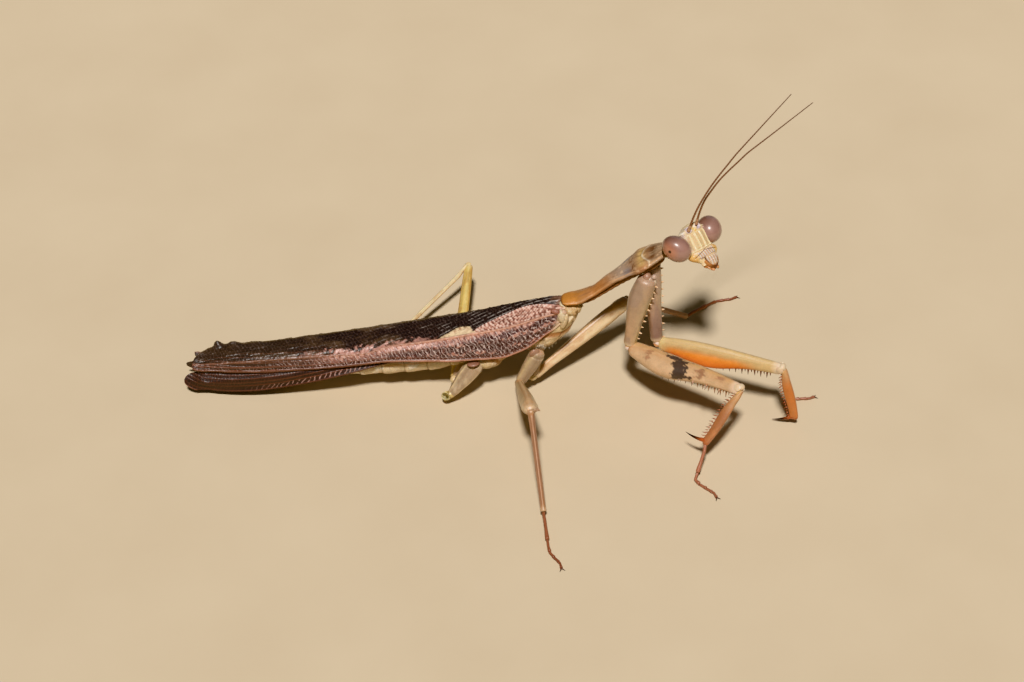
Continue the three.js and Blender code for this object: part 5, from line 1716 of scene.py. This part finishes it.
def build_fore_tibia(leg, side, knee, end, back_femur, back_tibia):
    """A grasping leg's tibia, with two rows of teeth and the long claw at its end."""
    right = side < 0

    def tibia_tint(share, angle):
        cloud = mottle((share * 6, np.cos(angle), np.sin(angle)), 1.2, 81)
        return paint(chosen("fore_tibia_right" if right else "fore_tibia_left"),
                     (srgb(206, 168, 124), ramp(0.5 if right else 0.38, 0.05, share) * 0.85),
                     (srgb(196, 132, 88), ramp(0.1, 0.6, cloud) * 0.4),
                     (srgb(176, 108, 80), ramp(-0.5, -0.95, np.sin(angle)) * 0.5),
                     (srgb(168, 96, 66), ramp(0.86, 1.0, share) * 0.7),
                     (srgb(238, 226, 206), ramp(0.05, 0.0, share) * 0.8))

    tibia = Shell()
    axis_t = unit(end - knee)
    path_t, wide_t, high_t = measured_limb(
        tibia, f"{leg}_tibia", knee - axis_t * 0.2, end + axis_t * 0.2, back_tibia, 150, 60, tibia_tint,
        lambda a, s: ((-0.12 if right else -0.1) * ramp(0.1, 0.3, s) + 0.04 * bump(np.sin(a), 0.9, 0.1)
                      - 0.07 * bump(np.sin(a), -1.0, 0.2) * ramp(0.1, 0.3, s)),
        caps=(0.1, 0.06), even=True)
    side_t, _ = square_to(axis_t, back_tibia)
    add_ball(tibia, knee + back_femur * 0.2, (0.58, 0.46), side_t, srgb(222, 198, 166))
    add_ball(tibia, knee + axis_t * 0.55 + back_femur * 0.1, (0.5, 0.4), axis_t, srgb(222, 180, 120))
    claw_root = end - axis_t * 0.35 - back_tibia * 0.3
    s = np.linspace(0, 1, 40)
    claw_way = unit(axis_t * 0.42 - back_tibia)
    claw = claw_root + s[:, None] * claw_way * length_of("claw") - (s**2)[:, None] * axis_t * 0.7
    radius = 0.26 * (1 - s) ** 0.9 + 0.015
    mix = np.broadcast_to(ramp(0.1, 0.55, s)[:, None], (40, 20))
    add_tube(tibia, rings_along(claw, side_t, radius, radius, 20),
             blend(srgb(178, 92, 54), srgb(40, 20, 18), mix))
    tibia.finish(f"{leg}_tibia_shell", "Leg shell", "fore_tibiae", f"{leg}_tibia")
    teeth = how_many("tibia_teeth")
    keel = path_t - back_tibia * (high_t * 0.85)[:, None]
    for label, sign, count in (("outer", -1, teeth - 2), ("inner", 1, teeth)):
        edge = (keel + side_t * sign * (wide_t * 0.5)[:, None])[24:140]
        spine_row(f"{leg}_tibia_teeth_{label}", edge, count, length_of("tibia_tooth"), 0.09,
                  -back_tibia + 0.25 * sign * side_t + 0.45 * axis_t, srgb(186, 112, 82), srgb(70, 30, 24),
                  short=0.75, every=2, stray=0.1, seed=21 + side)


def build_fore_leg(name, side):
    """A grasping leg: beaded coxa, deep spined femur, toothed tibia with its long claw, thin foot."""
    leg = f"fore_{name}"
    joints = leg_places(leg)
    root, elbow, knee, end = joints
    back_femur, back_tibia = fore_plane(joints)
    build_fore_coxa(leg, side, root, elbow)
    build_fore_femur(leg, side, elbow, knee, back_femur)
    build_fore_tibia(leg, side, knee, end, back_femur, back_tibia)
    build_foot(leg, end + unit(end - knee) * 0.1, (chosen("fore_feet"), chosen("fore_feet") * 0.78))


def build_walking_leg(leg, side, colours, slot):
    """A slender walking leg: soft coxa, ridged femur with knee lobes, thin tibia with spurs, foot."""
    joints = leg_places(leg)
    root, trochanter, knee, end = joints
    axes = [unit(b - a) for a, b in zip(joints[:-1], joints[1:])]
    bend = -unit(axes[2] - (axes[2] @ axes[1]) * axes[1])
    seed = 91 + len(leg) + side

    def limb_tint(base, pale, dark, ends, streak=0.0):
        def tint(share, angle):
            cloud = mottle((share * 8, np.cos(angle), np.sin(angle)), 1.2, seed)
            return paint(base, (pale, bump(np.sin(angle), 0.35, 0.3) * 0.7),
                         (dark, ramp(0.0, 0.6, cloud) * 0.45),
                         (dark, bump(np.abs(np.sin(angle)), 0.97, 0.05) * 0.5),
                         (dark, bump(np.abs(np.cos(angle)), 0.42, 0.07) * streak),
                         (ends, ramp(0.93, 0.99, share) * 0.7), (ends, ramp(0.06, 0.0, share) * 0.6))
        return tint

    coxa = Shell()
    forward = unit(np.array([side * 1.0, -0.4, 0.0]))
    front = unit(forward - (forward @ axes[0]) * axes[0])
    shades = [srgb(*shade) for shade in ((176, 152, 126), (204, 178, 132), (150, 126, 104), (196, 150, 120))]
    measured_limb(coxa, f"{leg}_coxa", root - axes[0] * 0.3 + [0, 0.95, 0], trochanter, front, 90, 60,
                  limb_tint(*shades),
                  lambda a, s: (0.07 * bump(np.sin(a - 0.6), 1.0, 0.15) - 0.06 * bump(s, 0.12, 0.04)
                                + 0.06 * np.abs(np.cos(a)) * ramp(1.0, 0.4, s)), caps=(0.14, 0.12))
    add_ball(coxa, root + axes[0] * 0.1 + front * 0.5 + [0, 0.75, 0], (0.26, 0.7), front,
             srgb(162, 126, 106))
    add_ball(coxa, trochanter, (0.6, 0.52), axes[1], srgb(206, 182, 140))
    coxa.finish(f"{leg}_coxa_shell", "Leg shell", "coxae", f"{leg}_coxa")

    femur = Shell()
    middle_leg = leg.startswith("mid")
    swell = 0.34 if middle_leg else 0.0

    def ridge(a, s):
        return (0.05 * np.cos(4 * a) * ramp(0.05, 0.15, s) * ramp(0.97, 0.9, s)
                + swell * ramp(0.1, 0.75, s) * ramp(1.0, 0.88, s))

    _, wide_f, _ = measured_limb(
        femur, f"{leg}_femur", trochanter + axes[1] * 0.15, knee + axes[1] * 0.12, bend, 200, 56,
        limb_tint(colours["femur"], colours["pale"], colours["dark"], colours["joint"], 0.6), ridge,
        caps=(0.03, 0.03))
    across, _ = square_to(axes[1], bend)
    for sign in (-1, 1):
        add_ball(femur, knee + across * sign * (wide_f[-20] * 0.7) - axes[1] * 0.05, (0.12, 0.36), across,
                 colours["joint"])
    if middle_leg:
        ahead = unit(np.array([0, -1.0, 0]) + axes[1][1] * axes[1])
        for back, out, wide in ((1.9, 1.15, 0.5), (1.3, 0.8, 0.5), (1.0, 0.45, 0.44)):
            add_cone(femur, knee - axes[1] * back + ahead * 0.12,
                     knee + axes[1] * (1.0 - 0.4 * out) + ahead * out, wide, colours["femur"],
                     colours["lobe"], rows=12)
    femur.finish(f"{leg}_femur_shell", "Leg shell", slot, f"{leg}_femur")
    spur_line = np.array([knee - axes[1] * 0.3, knee - axes[1] * 0.1]) - bend * 0.3
    spine_row(f"{leg}_knee_spur", spur_line, 2, 0.55, 0.07, axes[1] - 0.5 * bend, colours["femur"],
              srgb(70, 40, 30), short=1.0, every=1, seed=9)

    tibia = Shell()
    back = unit(axes[1] - (axes[1] @ axes[2]) * axes[2])
    path_t, wide_t, high_t = measured_limb(
        tibia, f"{leg}_tibia", knee - axes[2] * 0.1, end + axes[2] * 0.15, back, 220, 40,
        limb_tint(colours["tibia"], colours["tibia_pale"], colours["dark"], colours["joint"]),
        lambda a, s: (0.03 * np.cos(4 * a) * ramp(0.05, 0.12, s) + 0.1 * bump(s, 0.03, 0.02)
                      + 0.05 * ramp(0.93, 1.0, s)),
        caps=(0.02, 0.015))
    tibia.finish(f"{leg}_tibia_shell", "Leg shell", slot, f"{leg}_tibia")
    across, _ = square_to(axes[2], back)
    for label, sign in (("inner", -1), ("outer", 1)):
        edge = (path_t + across * sign * (wide_t * 0.6)[:, None] - back * (high_t * 0.6)[:, None])[120:212]
        spine_row(f"{leg}_tibia_hairs_{label}", edge, 16, 0.3, 0.03,
                  axes[2] - 0.5 * back + 0.3 * sign * across, colours["tibia"], colours["dark"],
                  short=0.6, every=2, stray=0.2, seed=31 + sign)
    spine_row(f"{leg}_spurs", np.array([end - across * 0.2, end + across * 0.2]), 2, 0.6, 0.06,
              axes[2] - 0.5 * back, colours["tibia"], srgb(60, 34, 26), short=1.0, every=1, seed=4)
    build_foot(leg, end + axes[2] * 0.1, colours["foot"], 0.95)


def build_lost_leg():
    """The right hind leg: its coxa, and the open, hollow end where the rest came away."""
    node, stump = "hind_right_coxa", "hind_right_stump"
    coxa_middle = node_centre(node)
    coxa_line = straight_line(node, coxa_middle + UP * 10)
    root, low = box_end(node, coxa_line, False), box_end(node, coxa_line, True)
    tip = box_end(stump, straight_line(stump, coxa_middle), True)
    tip = tip + 0.85 * unit(low - tip)
    axis = unit(low - root)
    front = np.array([-1.0, 0.0, 0.5])
    front = unit(front - (front @ axis) * axis)

    def tint(share, angle):
        cloud = mottle((share * 5, np.cos(angle), np.sin(angle)), 1.2, 101)
        return paint(srgb(164, 140, 114), (srgb(190, 168, 138), ramp(0.0, 0.6, cloud) * 0.6),
                     (srgb(204, 150, 100), bump(np.sin(angle), -0.2, 0.16) * 0.5),
                     (srgb(214, 190, 148),
                      bump(np.abs(np.cos(angle)), 0.8, 0.06) * ramp(0.1, 0.3, share) * 0.8),
                     (srgb(136, 112, 92), bump(np.cos(angle), 0.45, 0.12) * ramp(0.9, 0.5, share) * 0.5),
                     (srgb(150, 116, 86), ramp(0.93, 1.0, share) * 0.6))

    shell = Shell()
    measured_limb(shell, node, root - axis * 0.3, low + axis * 0.1, front, 90, 60, tint,
                  lambda a, s: (0.06 * bump(np.sin(a - 0.6), 1.0, 0.15)
                                + 0.07 * bump(np.abs(np.cos(a)), 0.8, 0.08)
                                - 0.07 * bump(np.cos(a), 0.4, 0.2)
                                + 0.36 * np.abs(np.cos(a)) * ramp(1.0, 0.3, s)), caps=(0.1, 0.08))
    add_ball(shell, root - axis * 0.05 + front * 0.9 + [0, 0.45, 0.1], (0.28, 0.82), (0.3, 0.1, 0.95),
             srgb(150, 112, 96))
    shell.finish("hind_right_coxa_shell", "Leg shell", "coxae", node)
    rows, around = 60, 44
    s = np.linspace(0, 1, rows)
    way = unit(tip - low)
    start = low - way * 0.35
    line = start + s[:, None] * (tip - start)
    radius = 0.58 * interpolate([0, 0.4, 0.78, 1.0], [0.84, 0.9, 1.0, 1.0], s) * rounded_ends(s, 0.1, 0.001)
    radius = radius - 0.05 * bump(s, 0.55, 0.05)
    share, angle = ring_field(rows, around)
    rings = rings_along(line, UP, radius, radius, around)
    facing = unit(way * 0.5 + np.array([-0.75, 0.0, 0.66]))
    turn = ramp(0.55, 0.97, s)[:, None, None]
    middle = rings.mean(axis=1, keepdims=True)
    spread = rings - middle
    tilted = spread - (spread @ facing)[..., None] * facing
    tilted *= np.linalg.norm(spread, axis=2, keepdims=True) / np.linalg.norm(tilted, axis=2, keepdims=True)
    rings = middle + spread + (tilted - spread) * turn
    mouth = middle[-1] + facing * 0.12
    lips = ((0.98, 0.06), (0.8, 0.0), (0.72, 0.16), (0.5, 0.24), (0.2, 0.26))
    inner = [mouth + tilted[50] * size - facing * depth for size, depth in lips]
    rings = np.concatenate([rings, inner])
    beyond = np.linspace(1.05, 1.5, len(lips))[:, None] + np.zeros(around)
    share = np.concatenate([share, beyond])
    crust = 0.5 + 0.5 * np.sin(3 * angle[:4] + 1.0)
    mark = paint(srgb(196, 172, 116), (srgb(232, 212, 160), ramp(0.8, 0.95, share)),
                 (srgb(112, 78, 44), bump(share, 0.5, 0.05) * 0.7),
                 (srgb(128, 122, 58), ramp(1.1, 1.22, share)))
    mark[-4:] = blend(mark[-4:], srgb(72, 62, 34), crust * 0.7)
    tube_piece("hind_right_healed_stump", rings, mark, "Leg shell", "hind_legs", "hind_right_stump")


# ---- hair
def build_flank_hair():
    """Fine white hairs along the lower edge of the flanks."""
    rng = np.random.default_rng(17)
    shell = Shell()
    homes = []
    tip_tint = chosen("hair")
    for node, low_share in (("mesothorax", 0.2), ("metathorax", 0.3)):
        triangles = node_triangles(node)
        normal = np.cross(triangles[:, 1] - triangles[:, 0], triangles[:, 2] - triangles[:, 0])
        area = np.linalg.norm(normal, axis=1)
        normal = normal / np.maximum(area, 1e-9)[:, None]
        centre = triangles.mean(axis=1)
        low, high = centre[:, 2].min(), centre[:, 2].max()
        wanted = (centre[:, 2] < low + (high - low) * low_share) & (np.abs(normal[:, 1]) < 0.85)
        weight = area * wanted
        for pick in rng.choice(len(area), how_many("hairs"), p=weight / weight.sum()):
            u, v = rng.random(2)
            if u + v > 1:
                u, v = 1 - u, 1 - v
            a, b, c = triangles[pick]
            root = a + u * (b - a) + v * (c - a)
            way = unit(normal[pick] + rng.normal(0, 0.35, 3) + np.array([0, 0.25, -0.55]))
            length = rng.uniform(0.33, 1.0) * length_of("hair")
            add_cone(shell, root - way * 0.05, root + way * length, 0.013, srgb(206, 190, 164), tip_tint,
                     bend=(0, 0.05, -0.12), sides=4, rows=4)
            homes.append((root[1] / 60 + 0.5, (math.atan2(root[0] - MIDLINE, root[2] - 8) / TURN) % 1))
    piece = shell.finish("flank_hair", "Hair", "pleura")
    each = len(piece.data.vertices) // len(homes)
    layer = piece.data.uv_layers.new(name="OFBake")
    corner = np.empty(len(piece.data.loops), dtype=np.int32)
    piece.data.loops.foreach_get("vertex_index", corner)
    points = np.empty(len(piece.data.vertices) * 3)
    piece.data.vertices.foreach_get("co", points)
    points = points.reshape(-1, 3) / MM
    home = np.repeat(np.array(homes), each, axis=0)
    start = np.repeat(points.reshape(len(homes), each, 3)[:, :1], each, axis=1).reshape(-1, 3)
    patch = home + 0.0015 * np.clip((points - start)[:, 1:], -1, 1)
    layer.data.foreach_set("uv", patch[corner].astype(np.float32).ravel())


# ---- stage
FLOOR_HALF = 1.5  # metres
FLOOR_DROP = 0.00002  # metres, so that the feet don't sink into the floor
CAMERA_LENS, SENSOR_WIDTH = 100, 36  # millimetres
CAMERA_DISTANCE, CAMERA_ROUND = 0.36, 270  # metres, degrees round the animal from its front
KEY_ANGLE = math.radians(6)  # how wide the main light looks: it softens the shadows' edges
WARM, COOL, ROOM = (1.0, 0.975, 0.94), (0.97, 0.98, 1.0), (1.0, 0.96, 0.9)


def look_at(thing, target, azimuth, elevation, distance):
    """Puts a lamp or camera at a distance from the target, round and above it in radians, facing it."""
    way = Vector((math.sin(azimuth) * math.cos(elevation), -math.cos(azimuth) * math.cos(elevation),
                  math.sin(elevation)))
    thing.location = target + way * distance
    thing.rotation_euler = (-way).to_track_quat("-Z", "Y").to_euler()
    bpy.context.scene.collection.objects.link(thing)


def build_stage(settings):
    """Pale floor, a flash-like key with soft edges, wide fill, and the camera above the right side."""
    mesh = bpy.data.meshes.new("floor")
    corners = [(x * FLOOR_HALF, y * FLOOR_HALF, 0) for x, y in ((-1, -1), (1, -1), (1, 1), (-1, 1))]
    mesh.from_pydata(corners, [], [(0, 1, 2, 3)])
    floor = bpy.data.objects.new("studio_floor", mesh)
    floor.location.z = -FLOOR_DROP
    bpy.context.scene.collection.objects.link(floor)
    material, tree, shader = new_material("Studio floor")
    place = add_node(tree, "ShaderNodeTexCoord").outputs["Object"]
    colour = mixed(tree, noise(tree, place, 60.0, 5.0)[0], srgb(214, 196, 168), srgb(204, 185, 156))
    set_inputs(tree, shader, {"Base Color": colour, "Roughness": 0.9})
    mesh.materials.append(material)

    target = Vector(settings.aim)
    scene = bpy.context.scene
    for label, elevation, azimuth, distance, kind, extent, size, power, colour in (
            ("key", 59, 266, 0.45, "SUN", "angle", KEY_ANGLE, settings.key, WARM),
            ("fill", 26, 75, 0.6, "AREA", "size", 0.5, settings.fill * 1.3, COOL),
            ("front_fill", 35, 300, 0.6, "AREA", "size", 0.4, settings.fill * 0.8, COOL)):
        data = bpy.data.lights.new(label, kind)
        setattr(data, extent, size)
        data.energy, data.color = power, colour
        look_at(bpy.data.objects.new(label, data), target, math.radians(azimuth), math.radians(elevation),
                distance)
    world = bpy.data.worlds.new("Soft room")
    world.use_nodes = True
    tree = world.node_tree
    seen = add_node(tree, "ShaderNodeLightPath").outputs["Is Camera Ray"]
    set_inputs(tree, tree.nodes["Background"], {
        0: mixed(tree, seen, ROOM, srgb(222, 208, 184)),
        1: maths(tree, "MULTIPLY_ADD", seen, 1 - settings.room, settings.room)})
    scene.world = world
    scene.view_settings.view_transform = "Khronos PBR Neutral"

    camera_data = bpy.data.cameras.new("camera")
    camera_data.lens, camera_data.sensor_width, camera_data.clip_start = CAMERA_LENS, SENSOR_WIDTH, 0.01
    camera = bpy.data.objects.new("camera", camera_data)
    look_at(camera, target, math.radians(CAMERA_ROUND), settings.elevation, CAMERA_DISTANCE)
    scene.camera = camera


# ---- the add-on
class MANTIS_OT_stage(bpy.types.Operator):
    """Build the floor, lights and camera"""
    bl_idname = "mantis.stage"
    bl_label = "Stage"

    def execute(self, context):
        build_stage(context.scene.mantis_stage)
        return {"FINISHED"}


class MANTIS_OT_head(bpy.types.Operator):
    """Build the head's shell with its ridged face"""
    bl_idname = "mantis.head"
    bl_label = "Head"

    def execute(self, context):
        build_head()
        return {"FINISHED"}


class MANTIS_OT_mouth(bpy.types.Operator):
    """Build the upper lip, jaws and palps"""
    bl_idname = "mantis.mouth"
    bl_label = "Mouth"

    def execute(self, context):
        build_mouth()
        return {"FINISHED"}


class MANTIS_OT_eyes(bpy.types.Operator):
    """Build the two compound eyes"""
    bl_idname = "mantis.eyes"
    bl_label = "Eyes"

    def execute(self, context):
        build_eyes()
        return {"FINISHED"}


class MANTIS_OT_feelers(bpy.types.Operator):
    """Build the two long feelers"""
    bl_idname = "mantis.feelers"
    bl_label = "Feelers"

    def execute(self, context):
        build_feelers()
        return {"FINISHED"}


class MANTIS_OT_neck_shield(bpy.types.Operator):
    """Build the long shield over the neck"""
    bl_idname = "mantis.neck_shield"
    bl_label = "Neck Shield"

    def execute(self, context):
        build_neck_shield()
        return {"FINISHED"}


class MANTIS_OT_neck_underside(bpy.types.Operator):
    """Build the plate under the neck"""
    bl_idname = "mantis.neck_underside"
    bl_label = "Neck Underside"

    def execute(self, context):
        build_neck_underside()
        return {"FINISHED"}


class MANTIS_OT_trunk(bpy.types.Operator):
    """Build one skin over the neck joint and the flanks"""
    bl_idname = "mantis.trunk"
    bl_label = "Trunk"

    def execute(self, context):
        build_trunk()
        return {"FINISHED"}


class MANTIS_OT_belly(bpy.types.Operator):
    """Build the abdomen and its two tail feelers"""
    bl_idname = "mantis.belly"
    bl_label = "Belly"

    def execute(self, context):
        build_belly()
        return {"FINISHED"}


class MANTIS_OT_front_wings(bpy.types.Operator):
    """Build both leathery front wings"""
    bl_idname = "mantis.front_wings"
    bl_label = "Front Wings"

    def execute(self, context):
        build_front_wing("right", -1, True)
        build_front_wing("left", 1, False)
        return {"FINISHED"}


class MANTIS_OT_hind_wings(bpy.types.Operator):
    """Build both hind wings"""
    bl_idname = "mantis.hind_wings"
    bl_label = "Hind Wings"

    def execute(self, context):
        build_hind_wing("right", -1)
        build_hind_wing("left", 1)
        return {"FINISHED"}


class MANTIS_OT_fore_legs(bpy.types.Operator):
    """Build both grasping legs"""
    bl_idname = "mantis.fore_legs"
    bl_label = "Fore Legs"

    def execute(self, context):
        build_fore_leg("right", -1)
        build_fore_leg("left", 1)
        return {"FINISHED"}


class MANTIS_OT_walking_legs(bpy.types.Operator):
    """Build the middle legs and the left hind leg"""
    bl_idname = "mantis.walking_legs"
    bl_label = "Walking Legs"

    def execute(self, context):
        build_walking_leg("mid_right", -1, middle_colours(), "mid_legs")
        build_walking_leg("mid_left", 1, middle_colours(), "mid_legs")
        build_walking_leg("hind_left", 1, hind_colours(), "hind_legs")
        return {"FINISHED"}


class MANTIS_OT_lost_leg(bpy.types.Operator):
    """Build the right hind leg's coxa and its healed end"""
    bl_idname = "mantis.lost_leg"
    bl_label = "Lost Leg"

    def execute(self, context):
        build_lost_leg()
        return {"FINISHED"}


class MANTIS_OT_flank_hair(bpy.types.Operator):
    """Grow the fine white hairs on the flanks"""
    bl_idname = "mantis.flank_hair"
    bl_label = "Flank Hair"

    def execute(self, context):
        build_flank_hair()
        return {"FINISHED"}


OPERATORS = [
    MANTIS_OT_stage,
    MANTIS_OT_head,
    MANTIS_OT_mouth,
    MANTIS_OT_eyes,
    MANTIS_OT_feelers,
    MANTIS_OT_neck_shield,
    MANTIS_OT_neck_underside,
    MANTIS_OT_trunk,
    MANTIS_OT_belly,
    MANTIS_OT_front_wings,
    MANTIS_OT_hind_wings,
    MANTIS_OT_fore_legs,
    MANTIS_OT_walking_legs,
    MANTIS_OT_lost_leg,
    MANTIS_OT_flank_hair,
]


class MANTIS_PT_panel(bpy.types.Panel):
    """Lists the mantis's pieces and the settings that they are built from"""
    bl_idname = "MANTIS_PT_panel"
    bl_label = "Mantis"
    bl_space_type = "VIEW_3D"
    bl_region_type = "UI"
    bl_category = "Mantis"

    def draw(self, context):
        for operator in OPERATORS:
            self.layout.operator(operator.bl_idname)
        for label, settings in SETTINGS.items():
            column = self.layout.column()
            for name in settings.__annotations__:
                column.prop(getattr(context.scene, label), name)


SETTINGS = {"mantis_stage": MantisStage, "mantis_colours": MantisColours, "mantis_sizes": MantisSizes}
CLASSES = [*SETTINGS.values(), *OPERATORS, MANTIS_PT_panel]


def register():
    for cls in CLASSES:
        bpy.utils.register_class(cls)
    for label, settings in SETTINGS.items():
        setattr(bpy.types.Scene, label, PointerProperty(type=settings))


def unregister():
    for label in SETTINGS:
        delattr(bpy.types.Scene, label)
    for cls in reversed(CLASSES):
        bpy.utils.unregister_class(cls)


def main():
    register()
    for operator in OPERATORS:
        getattr(bpy.ops.mantis, operator.bl_idname.split(".")[1])()
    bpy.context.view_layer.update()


if __name__ == "__main__":
    main()
